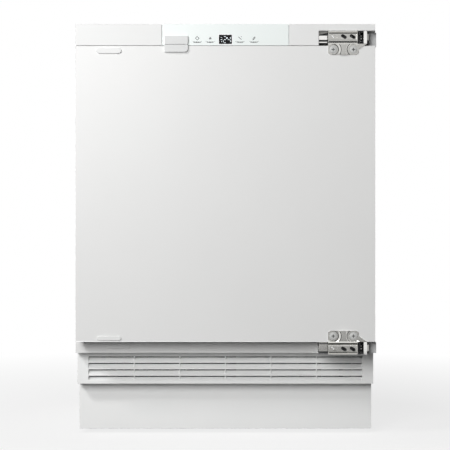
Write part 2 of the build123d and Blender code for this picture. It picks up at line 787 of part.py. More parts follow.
def compressor_grommets():
    """Rubber grommets, each with a collar through the mounting plate."""
    neck = PAN_TOP + GROMMET
    collar = neck + PLATE
    grommets = []
    for x, d in grommet_places():
        rubber = upright(x, d, PAN_TOP, neck, GROMMET_R) + upright(x, d, neck, collar, GROMMET_NECK_R)
        grommets.append(rubber + upright(x, d, collar, collar + GROMMET_COLLAR, GROMMET_COLLAR_R))
    return grommets


def start_relay_box():
    """The relay box on the right of the compressor can."""
    d = compressor_depth()
    wide, deep, tall = RELAY_BOX
    right = COMPRESSOR_X + COMPRESSOR_R + 2 * wide / 3
    z = PAN_TOP + GROMMET + RELAY_BOX_UP
    box = block((right - wide, right), around(d, deep), (z, z + tall))
    can = upright(COMPRESSOR_X, d, 0, BAY_TOP, COMPRESSOR_R)
    return box - can


def drier_span():
    start = FAN_PLANE + DRIER_GAP
    return start, start + DRIER_LENGTH


def filter_drier():
    """The copper drier in the liquid line, drawn down at both ends."""
    x, z = liquid_place()
    d0, d1 = drier_span()
    body = along_depth(x, z, d0, d1, DRIER_R)
    return chamfer(body.edges(), 0.45 * DRIER_R)


def tube(points, radius, r):
    """A round tube along straight runs joined by tangent arcs."""
    line = FilletPolyline(*[(x, FRONT + d, z) for x, d, z in points], radius=radius)
    start = Plane(origin=line @ 0, z_dir=line % 0)
    return sweep(start * Circle(r), path=line)


def refrigerant_tubes():
    """Discharge, liquid, capillary and suction tubes."""
    d = compressor_depth()
    start = CONDENSER_BACK + STUB
    x1, z1 = discharge_place()
    x2, z2 = liquid_place()
    d0, d1 = drier_span()
    left = COMPRESSOR_X - COMPRESSOR_R
    right = COMPRESSOR_X + COMPRESSOR_R
    roof = BAY_TOP - SHEET
    discharge = tube([(left, d, z1), (x1, d, z1), (x1, start, z1)], TUBE_BEND, GAS_TUBE_R)
    liquid = along_depth(x2, z2, start, d0, GAS_TUBE_R)
    rise = d1 + 2.5 * TUBE_BEND
    capillary = tube([(x2, d1, z2), (x2, rise, z2), (x2, rise, roof)], TUBE_BEND, CAPILLARY_R)
    high = PAN_TOP + GROMMET + COMPRESSOR_HEIGHT * 0.62
    turn = right + RELAY_BOX[0] + SUCTION_BEND
    suction = tube([(right, d, high), (turn, d, high), (turn, d, roof)], SUCTION_BEND, SUCTION_R)
    return discharge, liquid, capillary, suction


def panel_shell(x0, x1, ends):
    """A cover of the control band: a front wall with returns above and below, and end returns."""
    z0, z1 = PANEL_BOTTOM, HEIGHT
    cover = block((x0, x1), (0, PANEL_BACK), (z0, z1))
    low = x0 + (PANEL_WALL if "left" in ends else -1)
    high = x1 - (PANEL_WALL if "right" in ends else -1)
    return cover - block((low, high), (PANEL_WALL, PANEL_BACK + 1), (z0 + PANEL_WALL, z1 - PANEL_WALL))


def display_place():
    return 0.0, HEIGHT - DISPLAY_BELOW_TOP


def control_fascia():
    """The middle of the control band, with the window for the display."""
    fascia = panel_shell(-FASCIA_HALF, FASCIA_HALF, "")
    x, z = display_place()
    return fascia - front_face(Pos(x, z) * Rectangle(DISPLAY_WIDTH, DISPLAY_HEIGHT), -1, PANEL_WALL + 1)


def panel_cover_left():
    return panel_shell(-DOOR_HALF, -FASCIA_HALF - COVER_GAP, "left")


def cutout_corner():
    """The upper left corner of the hinge cut-out, as (x, z)."""
    return HALF - CUTOUT_LEFT, PANEL_BOTTOM + CUTOUT_HEIGHT


def panel_cover_right():
    """The right cover, cut out below for the upper hinge, with returns along the cut."""
    cover = panel_shell(FASCIA_HALF + COVER_GAP, DOOR_HALF, "right")
    x, z = cutout_corner()
    cover += block((x - PANEL_WALL, DOOR_HALF), (0, PANEL_BACK), (PANEL_BOTTOM, z + PANEL_WALL))
    return cover - block((x, HALF + 1), (-1, CABINET), (PANEL_BOTTOM - 1, z))


def panel_housing():
    """The carrier behind the control band: a back plate, ribs inside the covers, board posts."""
    inside = (PANEL_BOTTOM + PANEL_WALL, HEIGHT - PANEL_WALL)
    x_cut, z_cut = cutout_corner()
    over_cut = (z_cut + PANEL_WALL, inside[1])
    right = x_cut - PANEL_WALL
    back = (PANEL_BACK, CABINET)
    rib_depths = (PANEL_WALL, PANEL_BACK)
    housing = block((-DOOR_HALF + PANEL_WALL, right), back, inside)
    housing += block((right, DOOR_HALF - PANEL_WALL), back, over_cut)
    seams = [-DOOR_HALF + RIB_INSET]
    for seam in (-FASCIA_HALF, FASCIA_HALF):
        seams += [seam - RIB_INSET, seam + RIB_INSET]
    for x in seams:
        housing += block(around(x, HOUSING_RIB), rib_depths, inside)
    for x in (x_cut + 2 * RIB_INSET, DOOR_HALF - 2 * RIB_INSET):
        housing += block(around(x, HOUSING_RIB), rib_depths, over_cut)
    for x, z in board_posts():
        housing += along_depth(x, z, BOARD_DEPTH + BOARD, PANEL_BACK, POST_R)
    return housing


def board_posts():
    low = PANEL_BOTTOM + PANEL_WALL + POST_MARGIN
    high = HEIGHT - PANEL_WALL - POST_MARGIN
    return [(side * POST_X, height) for side in (-1, 1) for height in (low, high)]


def display_window():
    """The dark window of the display, seated in the fascia from behind."""
    x, z = display_place()
    outline = Pos(x, z) * Rectangle(DISPLAY_WIDTH, DISPLAY_HEIGHT)
    flange = Pos(x, z) * Rectangle(DISPLAY_WIDTH + 2 * DISPLAY_FLANGE, DISPLAY_HEIGHT)
    window = front_face(outline, DISPLAY_SUNK, PANEL_WALL)
    return window + front_face(flange, PANEL_WALL, PANEL_WALL + SHEET)


def control_board():
    """The circuit board with its display block, on the posts of the housing."""
    x, z = display_place()
    low = PANEL_BOTTOM + PANEL_WALL + BOARD_MARGIN
    high = HEIGHT - PANEL_WALL - BOARD_MARGIN
    board = block((-BOARD_HALF, BOARD_HALF), (BOARD_DEPTH, BOARD_DEPTH + BOARD), (low, high))
    deep = (PANEL_WALL + SHEET, BOARD_DEPTH)
    board += block(around(x, DISPLAY_WIDTH - 3), deep, around(z, DISPLAY_HEIGHT - 2))
    for near, far in ((-TOUCH_FAR, -TOUCH_NEAR), (TOUCH_NEAR, TOUCH_FAR)):
        board += block((near, far), (PANEL_WALL, BOARD_DEPTH), around(z, TOUCH_HEIGHT))
    connector = around((TOUCH_NEAR + TOUCH_FAR) / 2, TOUCH_HEIGHT)
    return board + block(connector, (BOARD_DEPTH, BOARD_DEPTH + TOUCH_HEIGHT), around(z, TOUCH_HEIGHT))


def tab_edges():
    """The square tab across the door gap: left, right, top, seam and bottom."""
    left = -FASCIA_HALF + TAB_FROM_FASCIA
    return left, left + TAB_WIDTH, HEIGHT - TAB_TOP, HEIGHT - TAB_SEAM, HEIGHT - TAB_BOTTOM


def door_sensor_housing():
    """The upper half of the tab, on the control band: it holds the door switch."""
    left, right, top, seam, _ = tab_edges()
    return block((left, right), (-TAB_RISE, 0), (seam, top))


def door_magnet_housing():
    """The lower half of the tab, on the door, with a rounded lower right corner."""
    left, right, _, seam, bottom = tab_edges()
    tab = block((left, right), (-TAB_RISE, -TAB_FOOT), (bottom, seam - COVER_GAP))
    tab += block((left, right), (-TAB_FOOT, 0), (bottom, DOOR_TOP))
    corner = tab.edges().filter_by(Axis.Y).sort_by(lambda e: e.center().X - e.center().Z)[-1]
    return fillet(corner, TAB_CORNER_R)


def hinge_heights(z, inner, outer):
    """The two height bands of a paired plate, above and below the hinge's middle."""
    return [(z + inner, z + outer), (z - outer, z - inner)]


def hinge_arm(z, side):
    """The hinge arm on the cabinet: a channel, its flanges reaching forward to two pivots."""
    ax, ad = pivot(PIVOT_A)
    bx, bd = pivot(PIVOT_B)
    left, right = HALF - ARM_LEFT, HALF - ARM_RIGHT
    outer = ARM_LAYER + HINGE_PLATE
    front = ARM_FACE - ARM_FLANGE
    tip = ARM_EYE_R - 0.8
    arm = block((left, right), (ARM_FACE, CABINET), (z - outer, z + outer))
    tall = (left, left + ARM_TALL_LENGTH)
    arm += block(tall, (ARM_FACE, CABINET), (z - ARM_TALL, z + ARM_TALL))
    for z0, z1 in hinge_heights(z, ARM_TALL - HINGE_PLATE, ARM_TALL):
        arm += block(tall, (front, CABINET), (z0, z1))
    arm -= [along_depth(x, z, ARM_FACE - 1, CABINET + 1, SCREW_R) for x in arm_screw_places()]
    plan = plan_face([(left, ARM_FACE), (left, front), (ax - 4 * ARM_EYE_R, front), (bx - tip, bd + 1),
                      (bx + tip, bd - 1), (ax + ARM_EYE_R, ad), (ax + ARM_EYE_R, ARM_FACE)])
    plan += plan_disc(ax, ad, ARM_EYE_R) + plan_disc(bx, bd, tip)
    plan -= plan_disc(ax, ad, PIN_R) + plan_disc(bx, bd, PIN_R)
    for z0, z1 in hinge_heights(z, ARM_LAYER, outer):
        arm += raise_plan(plan, z0, z1)
    return arm + arm_bar(z, side)


def arm_bar(z, side):
    """The raised bar on the arm's free end, its outer edge sloping towards the leaf."""
    left = HALF - ARM_LEFT
    low, high = -side, side * ARM_BAR_HEIGHT
    outline = [(left, z + low), (left + ARM_BAR_LENGTH, z + low), (left + ARM_BAR_LENGTH, z + 0.6 * high),
               (left + ARM_BAR_LENGTH / 5, z + high), (left, z + high)]
    return front_face(make_face(Polyline(outline, close=True)), ARM_FACE - ARM_BAR_DEPTH, ARM_FACE)


def ground_pins():
    """The pins in the arms: one through each outer link plate, one through the control link."""
    ax, ad = pivot(PIVOT_A)
    bx, bd = pivot(PIVOT_B)
    pins = []
    for z in (UPPER_HINGE_Z, LOWER_HINGE_Z):
        for z0, z1 in hinge_heights(z, ARM_LAYER, LINK_LAYER + HINGE_PLATE):
            pins.append(upright(ax, ad, z0, z1, PIN_R) + pin_head(ax, ad, z, z0, z1))
        arm_top = ARM_LAYER + HINGE_PLATE
        pins.append(upright(bx, bd, z - arm_top, z + arm_top, PIN_R))
    return pins


def pin_head(x, d, z, z0, z1):
    """A flat head just past the end of a pin that is farther from the hinge's middle."""
    if z0 > z:
        return upright(x, d, z1, z1 + PIN_HEAD, PIN_HEAD_R)
    return upright(x, d, z0 - PIN_HEAD, z0, PIN_HEAD_R)


def outer_link(z):
    """The outer link: two plates joined by the bright strap at the front."""
    ax, ad = pivot(PIVOT_A)
    cx, cd = pivot(PIVOT_C)
    strap_left, strap_right = HALF - STRAP[0], HALF - STRAP[1]
    side = HALF - STRAP_SIDE
    outer = LINK_LAYER + HINGE_PLATE
    edge = 0.7 * LINK_EYE_R
    throat = PIN_R + PIN_HEAD_R + HINGE_PLATE
    plan = plan_face([(cx - edge, cd + edge), (cx + edge, cd - 0.8 * edge), (cx + throat, cd - 0.9),
                      (strap_left, 0), (strap_right, 0), (side, STRAP_BEND), (side, STRAP_END),
                      (ax + LINK_EYE_R, ad - 1), (ax - edge, ad + edge)])
    plan += plan_disc(ax, ad, LINK_EYE_R) + plan_disc(cx, cd, LINK_EYE_R - 0.1)
    plan -= plan_disc(ax, ad, PIN_R + PIN_CLEAR) + plan_disc(cx, cd, PIN_R + PIN_CLEAR)
    link = block((strap_left, strap_right), (-STRAP_PROUD, 0), (z - STRAP_HALF, z + STRAP_HALF))
    inside = side - HINGE_PLATE
    bend = plan_face([(strap_right, -STRAP_PROUD), (side, STRAP_BEND), (side, STRAP_END),
                      (inside, STRAP_END), (inside, STRAP_BEND + 0.6), (strap_right, 0)])
    link += raise_plan(bend, z - outer, z + outer)
    for z0, z1 in hinge_heights(z, LINK_LAYER, outer):
        link += raise_plan(plan, z0, z1)
    return link


def control_link(z):
    """The dark control link between the two channels, slack at its door end."""
    bx, bd = pivot(PIVOT_B)
    dx, dd = pivot(PIVOT_D)
    length = math.hypot(dx - bx, dd - bd)
    turn = math.degrees(math.atan2(dd - bd, dx - bx))
    bar = Pos(bx, FRONT + bd) * Rot(0, 0, turn) * Pos(length / 2, 0) * Rectangle(length, CONTROL_BAR)
    plan = bar + plan_disc(bx, bd, CONTROL_EYE_R) + plan_disc(dx, dd, CONTROL_EYE_R)
    plan -= plan_disc(bx, bd, PIN_R + PIN_CLEAR) + plan_disc(dx, dd, PIN_R + OPEN_PIVOT_CLEAR)
    return raise_plan(plan, z - CONTROL_HALF, z + CONTROL_HALF)


def leaf_section(z, side):
    """The leaf's pressed sheet in section, as points (depth, z)."""
    front = [(-rise, z + side * height) for height, rise in LEAF_SECTION]
    back = [(d + LEAF_SHEET, height) for d, height in reversed(front)]
    return front + back


def ear_plate(z, side):
    """The plate under both ears as seen from the front, with a wedge towards the strap."""
    left, right = HALF - LEAF_LEFT, HALF - EAR_SCREWS[1] + EAR_R
    inner = z + side * LEAF_SECTION[-1][0]
    ear_z = z - side * EAR_DROP
    outer = ear_z - side * EAR_R
    x, middle = (left + right) / 2, (inner + outer) / 2
    plate = Pos(x, middle) * RectangleRounded(right - left, abs(inner - outer), EAR_CORNER_R)
    plate += Pos(x, (inner + middle) / 2) * Rectangle(right - left, abs(inner - middle))
    corner = z - side * (LEAF_HALF + LEAF_LIP)
    wedge = [(right - 1, corner), (HALF - STRAP[1], corner), (right, ear_z), (right - 1, ear_z)]
    return plate + make_face(Polyline(wedge, close=True))


def ear_pocket(x, z, side):
    """Room round an ear's screw: a cone that runs on as a trough past the plate's edge."""
    rise = LEAF_SECTION[-1][1]
    ear_z = z - side * EAR_DROP
    depth = (-rise - LEAF_PLATE) / 2
    cone = Pos(x, FRONT + depth, ear_z) * Rot(90, 0, 0) * Cone(POCKET_FOOT_R, POCKET_R, rise - LEAF_PLATE)
    outline = [(x - POCKET_R, -rise), (x + POCKET_R, -rise), (x + POCKET_FOOT_R, -LEAF_PLATE),
               (x - POCKET_FOOT_R, -LEAF_PLATE)]
    ends = sorted((ear_z, ear_z - side * 2 * EAR_R))
    return cone + raise_plan(plan_face(outline), *ends)


def leaf_slots(z, side):
    """The slanted slots in the channel face."""
    slot = Rot(0, 0, LEAF_SLOT_ANGLE) * SlotOverall(*LEAF_SLOT)
    return [Pos(HALF - offset, z + side * LEAF_SLOT_RISE) * slot for offset in LEAF_SLOTS]


def leaf_ears(z, side):
    """The ears: a plate on the door and the raised neck between the two screw pockets."""
    left = HALF - LEAF_LEFT
    first, second = HALF - EAR_SCREWS[0], HALF - EAR_SCREWS[1]
    inner = z + side * LEAF_SECTION[-1][0]
    ear_z = z - side * EAR_DROP
    outer = ear_z - side * EAR_R
    plate = front_face(ear_plate(z, side), -LEAF_PLATE, 0)
    rise = LEAF_SECTION[-1][1]
    neck = block((left, second + EAR_R), (-rise, 0), sorted((inner, outer)))
    for x in (first, second):
        neck -= ear_pocket(x, z, side)
    below = sorted((inner - side * POCKET_WALL, outer))
    for ends in ((left - 1, first), (second, second + 2 * EAR_R)):
        neck -= block(ends, (-2 * rise, -LEAF_PLATE), below)
    ears = plate + neck
    for x in (first, second):
        ears -= along_depth(x, ear_z, -LEAF_PLATE - 1, 1, SCREW_R)
    return ears


def hinge_leaf(z, side):
    """The hinge leaf on the door: a pressed channel, ears, and two inner flanges for the pivots."""
    cx, cd = pivot(PIVOT_C)
    dx, dd = pivot(PIVOT_D)
    left, right = HALF - LEAF_LEFT, HALF - LEAF_RIGHT
    leaf = side_profile(leaf_section(z, side), left, right)
    leaf -= front_face(Sketch() + leaf_slots(z, side), -2 * SCREW_HEAD, 0)
    inside = -LEAF_SECTION[0][1] + LEAF_SHEET
    for z0, z1 in hinge_heights(z, LEAF_HALF - LEAF_LIP, LEAF_HALF):
        leaf += block((left, dx + PIN_R), (inside - LEAF_LIP, LEAF_LIP_DEPTH), (z0, z1))
    edge = sorted((z + side * LEAF_HALF, z + side * (LEAF_HALF - LEAF_LIP)))
    leaf += block((left, right), (inside - LEAF_LIP, 0), edge)
    leaf += leaf_ears(z, side)
    eye = ARM_EYE_R
    face_back = -LEAF_SECTION[5][1] + LEAF_SHEET / 2
    plan = plan_disc(cx, cd, eye) + plan_disc(dx, dd, eye)
    plan += plan_face([(dx - eye, face_back), (right - 2, face_back), (cx, cd + eye), (dx, dd + eye),
                       (dx - eye, dd)])
    plan -= plan_disc(cx, cd, PIN_R) + plan_disc(dx, dd, PIN_R)
    for z0, z1 in hinge_heights(z, LEAF_LAYER, LEAF_LAYER + HINGE_PLATE):
        leaf += raise_plan(plan, z0, z1)
    return leaf


def leaf_pins():
    """The pins in the leaves: one through each outer link plate, one through the control link."""
    cx, cd = pivot(PIVOT_C)
    dx, dd = pivot(PIVOT_D)
    pins = []
    for z in (UPPER_HINGE_Z, LOWER_HINGE_Z):
        for z0, z1 in hinge_heights(z, LEAF_LAYER, LINK_LAYER + HINGE_PLATE):
            pins.append(upright(cx, cd, z0, z1, PIN_R) + pin_head(cx, cd, z, z0, z1))
        leaf_top = LEAF_LAYER + HINGE_PLATE
        pins.append(upright(dx, dd, z - leaf_top, z + leaf_top, PIN_R))
    return pins


def hinge_arm_screws():
    """Screws that hold the arms to the cabinet front."""
    screws = []
    for z in (UPPER_HINGE_Z, LOWER_HINGE_Z):
        for x in arm_screw_places():
            head = along_depth(x, z, ARM_FACE - ARM_SCREW_HEAD, ARM_FACE, ARM_SCREW_HEAD_R)
            head = fillet(head.edges().group_by(Axis.Y)[0], 0.6 * ARM_SCREW_HEAD)
            screws.append(head + along_depth(x, z, ARM_FACE, CABINET + SCREW_LENGTH, SCREW_R))
    return screws


def ear_screw_places():
    heights = (UPPER_HINGE_Z - EAR_DROP, LOWER_HINGE_Z + EAR_DROP)
    return [(HALF - offset, z) for z in heights for offset in EAR_SCREWS]


def hinge_leaf_screws():
    """Domed screws with a cross recess that hold the leaves to the door."""
    screws = []
    top = -LEAF_PLATE - SCREW_HEAD
    recess = (top - 1, top + CROSS_DEPTH)
    for x, z in ear_screw_places():
        head = along_depth(x, z, top, -LEAF_PLATE, SCREW_HEAD_R)
        head = fillet(head.edges().group_by(Axis.Y)[0], 0.9 * SCREW_HEAD)
        head -= block(around(x, CROSS), recess, around(z, CROSS / 5))
        head -= block(around(x, CROSS / 5), recess, around(z, CROSS))
        screws.append(head + along_depth(x, z, -LEAF_PLATE, SCREW_LENGTH, SCREW_R))
    return screws


def plug_places():
    """The long blanking covers over the holes of the other hinge side: upper, then lower."""
    x = -(HALF - DOOR_PLUG_SIDE)
    upper, lower = DOOR_TOP - DOOR_PLUG_DROP, DOOR_BOTTOM + DOOR_PLUG_RISE
    return [(x, upper, *DOOR_PLUG_UPPER), (x, lower, *DOOR_PLUG_LOWER)]


def plug_studs():
    """Places of the studs that hold the blanking covers, two to a cover."""
    return [(x + step, z) for x, z, _, _ in plug_places() for step in (-STUD_STEP, STUD_STEP)]


def door_plugs():
    plugs = []
    for x, z, width, height in plug_places():
        plug = front_face(Pos(x, z) * SlotOverall(width, height), -DOOR_PLUG_PROUD, 0)
        plug = fillet(plug.faces().sort_by(Axis.Y)[0].edges(), DOOR_PLUG_PROUD / 2)
        for step in (-STUD_STEP, STUD_STEP):
            plug += along_depth(x + step, z, 0, SHEET, STUD_R)
        plugs.append(plug)
    return plugs


def door_skin():
    """The steel outside of the door: a front sheet folded back on all four sides."""
    outer = block((-DOOR_HALF, DOOR_HALF), (0, DOOR_THICK - LINER), (DOOR_BOTTOM, DOOR_TOP))
    skin = outer - block((-DOOR_HALF + SHEET, DOOR_HALF - SHEET), (SHEET, DOOR_THICK),
                         (DOOR_BOTTOM - 1, DOOR_TOP + 1))
    skin -= [along_depth(x, z, -1, SHEET + 1, STUD_R) for x, z in plug_studs()]
    skin -= [along_depth(x, z, -1, SHEET + 1, SCREW_R) for x, z in ear_screw_places()]
    return skin


def door_cap(z0, z1):
    """A plastic cap that closes the top or the bottom of the door."""
    cap = block((-DOOR_HALF + SHEET, DOOR_HALF - SHEET), (SHEET, DOOR_THICK - LINER), (z0, z1))
    return cap - ear_screw_shanks()


def ear_screw_shanks():
    return [along_depth(x, z, 0, SCREW_LENGTH, SCREW_R) for x, z in ear_screw_places()]


def plateau(grow):
    """The raised middle of the door's inside, grown outwards by a wall."""
    inset = LINER - grow
    half = CAVITY_HALF - PLATEAU_SIDE_GAP - inset
    low = CAVITY_BOTTOM + PLATEAU_GAP_BELOW + inset
    high = CAVITY_TOP - PLATEAU_GAP_ABOVE - inset
    return block((-half, half), (DOOR_THICK - LINER, DOOR_THICK + PLATEAU_RISE + grow - LINER), (low, high))


def door_foam():
    foam = block((-DOOR_HALF + SHEET, DOOR_HALF - SHEET), (SHEET, DOOR_THICK - LINER),
                 (DOOR_BOTTOM + DOOR_CAP, DOOR_TOP - DOOR_CAP))
    return foam + plateau(0) - ear_screw_shanks()


def door_liner():
    """The inside of the door, with a raised middle and a groove for the seal's foot."""
    liner = block((-DOOR_HALF, DOOR_HALF), (DOOR_THICK - LINER, DOOR_THICK), (DOOR_BOTTOM, DOOR_TOP))
    return liner + plateau(LINER) - plateau(0)


def seal_ring(inset, width, d0, d1):
    """One square ring of the seal, at an inset from the seal's outer edge."""
    half = SEAL_HALF - inset
    low, high = DOOR_BOTTOM + SEAL_END + inset, DOOR_TOP - SEAL_END - inset
    ring = block((-half, half), (d0, d1), (low, high))
    ring = fillet(ring.edges().filter_by(Axis.Y), SEAL_ROUND)
    return ring - block((-half + width, half - width), (d0 - 1, d1 + 1), (low + width, high - width))


def door_gasket():
    """The magnetic seal: a foot, a bellows and the magnet bulb."""
    start, end = DOOR_THICK, CABINET - SEAL_SLACK
    middle, bulb = start + SEAL_FOOT, end - SEAL_MAGNET
    step = SEAL_WIDTH / 8
    foot_ring = seal_ring(step, SEAL_WIDTH - 2 * step, start, middle)
    bellows = seal_ring(2 * step, SEAL_WIDTH - 4 * step, middle, bulb)
    return foot_ring + bellows + seal_ring(0, SEAL_WIDTH, bulb, end)


def evaporator_shelf(z):
    """A cooled shelf: a plate with refrigerant tubes fixed under it."""
    half = CAVITY_HALF - 1.0
    front, back = SHELF_FRONT, CAVITY_BACK - 4
    shelf = block((-half, half), (front, back), (z, z + SHELF_THICK))
    inner = CAVITY_HALF - LEDGE - 6
    pitch = (back - front - 2 * SHELF_TUBE_INSET) / (SHELF_TUBES - 1)
    for n in range(SHELF_TUBES):
        d = front + SHELF_TUBE_INSET + n * pitch
        shelf += across(d, z - SHELF_TUBE_R + SHELF_THICK / 2, -inner, inner, SHELF_TUBE_R)
    return shelf


def temperature_sensor():
    """The sensor capsule clipped to the right wall of the compartment."""
    x, z = CAVITY_HALF, (SHELF_HEIGHTS[0] + SHELF_HEIGHTS[1]) / 2
    d = CAVITY_BACK - SENSOR_LENGTH
    base = block((x - SENSOR_R, x), around(d, SENSOR_LENGTH), around(z, 4 * SENSOR_R))
    reach = 0.4 * SENSOR_LENGTH
    return base + along_depth(x - 2 * SENSOR_R, z, d - reach, d + reach, 1.1 * SENSOR_R)


def drawer_levels():
    """Floor, ceiling and back of each drawer's space, from the bottom up."""
    floors = [CAVITY_BOTTOM] + [z + SHELF_THICK for z in SHELF_HEIGHTS]
    ceilings = [z - 2 * SHELF_TUBE_R for z in SHELF_HEIGHTS] + [CAVITY_TOP]
    backs = [HUMP_FRONT, CAVITY_BACK, CAVITY_BACK]
    return list(zip(floors, ceilings, backs))


def drawer_tub(floor, ceiling, back):
    """An open drawer tub with a rim along its sides and back."""
    z0, z1 = floor + DRAWER_REST, ceiling - DRAWER_HEADROOM
    front = DRAWER_FACE + DRAWER_GRIP + DRAWER_FRONT
    end = back - DRAWER_BACK_GAP
    half = DRAWER_HALF - DRAWER_RIM
    tub = block((-half, half), (front, end), (z0, z1))
    tub = fillet(tub.edges().filter_by(Axis.X).sort_by(Axis.Z)[:2], DRAWER_ROUND)
    tub += block((-half - DRAWER_RIM, half + DRAWER_RIM), (front, end), (z1 - DRAWER_RIM_HEIGHT, z1))
    inner = half - DRAWER_WALL
    deep = (front + DRAWER_WALL, end - DRAWER_WALL)
    return tub - block((-inner, inner), deep, (z0 + DRAWER_WALL, z1 + 1))


def drawer_front(floor, ceiling):
    """The clear front of a drawer, with a grip lip along its top."""
    z0, z1 = floor + DRAWER_REST, ceiling - DRAWER_HEADROOM
    face = DRAWER_FACE + DRAWER_GRIP
    half = DRAWER_HALF
    front = block((-half, half), (face, face + DRAWER_FRONT), (z0, z1 + 4))
    across_grip = (-half + GRIP_INSET, half - GRIP_INSET)
    top = z1 - GRIP_DROP
    grip = block(across_grip, (DRAWER_FACE, face), (top - GRIP_WALL, top))
    grip += block(across_grip, (DRAWER_FACE, DRAWER_FACE + GRIP_WALL), (top - GRIP_HEIGHT, top))
    return front + grip


def fixed_parts():
    save("outer_shell", outer_shell())
    save("back_panel", back_panel())
    save("lower_rail", lower_rail())
    save("rail_plug", rail_plug())
    save("cabinet_foam", cabinet_foam())
    save("inner_liner", inner_liner())
    save("bottom_plate", bottom_plate())
    save("plinth_panel", plinth_panel())
    save("plinth_clips", *plinth_clips())
    save("vent_grille", vent_grille())
    save("panel_housing", panel_housing())
    save("control_fascia", control_fascia())
    save("panel_cover_left", panel_cover_left())
    save("panel_cover_right", panel_cover_right())
    save("display_window", display_window())
    save("control_board", control_board())
    save("door_sensor_housing", door_sensor_housing())
    save("hinge_arms", hinge_arm(UPPER_HINGE_Z, 1), hinge_arm(LOWER_HINGE_Z, -1))
    save("hinge_arm_screws", *hinge_arm_screws())
    save("hinge_ground_pins", *ground_pins())
    save("temperature_sensor", temperature_sensor())
    for name, z in zip(("lower", "upper"), SHELF_HEIGHTS):
        save(f"evaporator_shelf_{name}", evaporator_shelf(z))


def base_parts():
    save("base_frame", base_frame())
    save("foot_bushes", *foot_bushes())
    save("air_divider", air_divider())
    save("condenser", condenser())
    save("fan_shroud", fan_shroud())
    save("fan_motor", fan_motor())
    save("compressor", compressor())
    save("compressor_grommets", *compressor_grommets())
    save("start_relay_box", start_relay_box())
    save("filter_drier", filter_drier())
    save("refrigerant_tubes", *refrigerant_tubes())
    save("rear_compartment_cover", rear_compartment_cover())
    save("power_inlet", power_inlet())


def moving_parts():
    names = ("foot_front_left", "foot_front_right", "foot_rear_left", "foot_rear_right")
    for name, (x, d) in zip(names, foot_places()):
        save(name, foot(x, d))
    save("fan_rotor", fan_rotor())
    save("hinge_outer_links", outer_link(UPPER_HINGE_Z), outer_link(LOWER_HINGE_Z))
    save("hinge_control_links", control_link(UPPER_HINGE_Z), control_link(LOWER_HINGE_Z))
    for name, level in zip(("bottom", "middle", "top"), drawer_levels()):
        save(f"drawer_tub_{name}", drawer_tub(*level))
        save(f"drawer_front_{name}", drawer_front(*level[:2]))


def door_parts():
    save("door_skin", door_skin())
    save("door_foam", door_foam())
    save("door_liner", door_liner())
    save("door_gasket", door_gasket())
    bottom_cap = door_cap(DOOR_BOTTOM, DOOR_BOTTOM + DOOR_CAP)
    save("door_caps", door_cap(DOOR_TOP - DOOR_CAP, DOOR_TOP), bottom_cap)
    save("door_plugs", *door_plugs())
    save("door_magnet_housing", door_magnet_housing())
    save("hinge_leaf_upper", hinge_leaf(UPPER_HINGE_Z, 1))
    save("hinge_leaf_lower", hinge_leaf(LOWER_HINGE_Z, -1))
    save("hinge_leaf_screws", *hinge_leaf_screws())
    save("hinge_leaf_pins", *leaf_pins())


os.makedirs("parts", exist_ok=True)
fixed_parts()
base_parts()
moving_parts()
door_parts()
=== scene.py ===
import json
import math
import bmesh
import bpy
from mathutils import Matrix, Vector

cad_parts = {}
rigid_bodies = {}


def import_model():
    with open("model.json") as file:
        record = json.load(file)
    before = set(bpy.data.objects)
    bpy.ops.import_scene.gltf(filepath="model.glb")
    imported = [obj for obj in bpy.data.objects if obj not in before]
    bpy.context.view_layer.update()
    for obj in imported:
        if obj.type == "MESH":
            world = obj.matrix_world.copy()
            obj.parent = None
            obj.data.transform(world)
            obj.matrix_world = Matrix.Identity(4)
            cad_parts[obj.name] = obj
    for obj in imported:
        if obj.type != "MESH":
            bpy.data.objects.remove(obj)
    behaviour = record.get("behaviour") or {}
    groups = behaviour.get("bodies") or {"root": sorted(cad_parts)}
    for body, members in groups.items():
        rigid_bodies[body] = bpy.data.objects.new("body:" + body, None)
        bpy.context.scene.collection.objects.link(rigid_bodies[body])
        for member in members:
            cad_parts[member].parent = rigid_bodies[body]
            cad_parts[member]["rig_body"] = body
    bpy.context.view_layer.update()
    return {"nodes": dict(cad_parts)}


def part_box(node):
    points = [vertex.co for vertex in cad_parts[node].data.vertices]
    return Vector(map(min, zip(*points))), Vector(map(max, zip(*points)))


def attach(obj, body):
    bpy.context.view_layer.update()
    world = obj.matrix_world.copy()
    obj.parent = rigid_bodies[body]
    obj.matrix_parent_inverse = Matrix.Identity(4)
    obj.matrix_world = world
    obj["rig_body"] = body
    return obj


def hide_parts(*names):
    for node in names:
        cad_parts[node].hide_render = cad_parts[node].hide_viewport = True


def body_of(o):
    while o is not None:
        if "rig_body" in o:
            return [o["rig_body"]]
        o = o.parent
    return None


# Undercounter freezer: its finishes, its small parts and a plain studio.
# Metres, +Z up, the door faces -Y. A size in millimetres is multiplied by MM where it is used.

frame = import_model()
MM = 0.001
ALONG = 0.9  # how closely an edge or a face has to follow an axis to be chosen

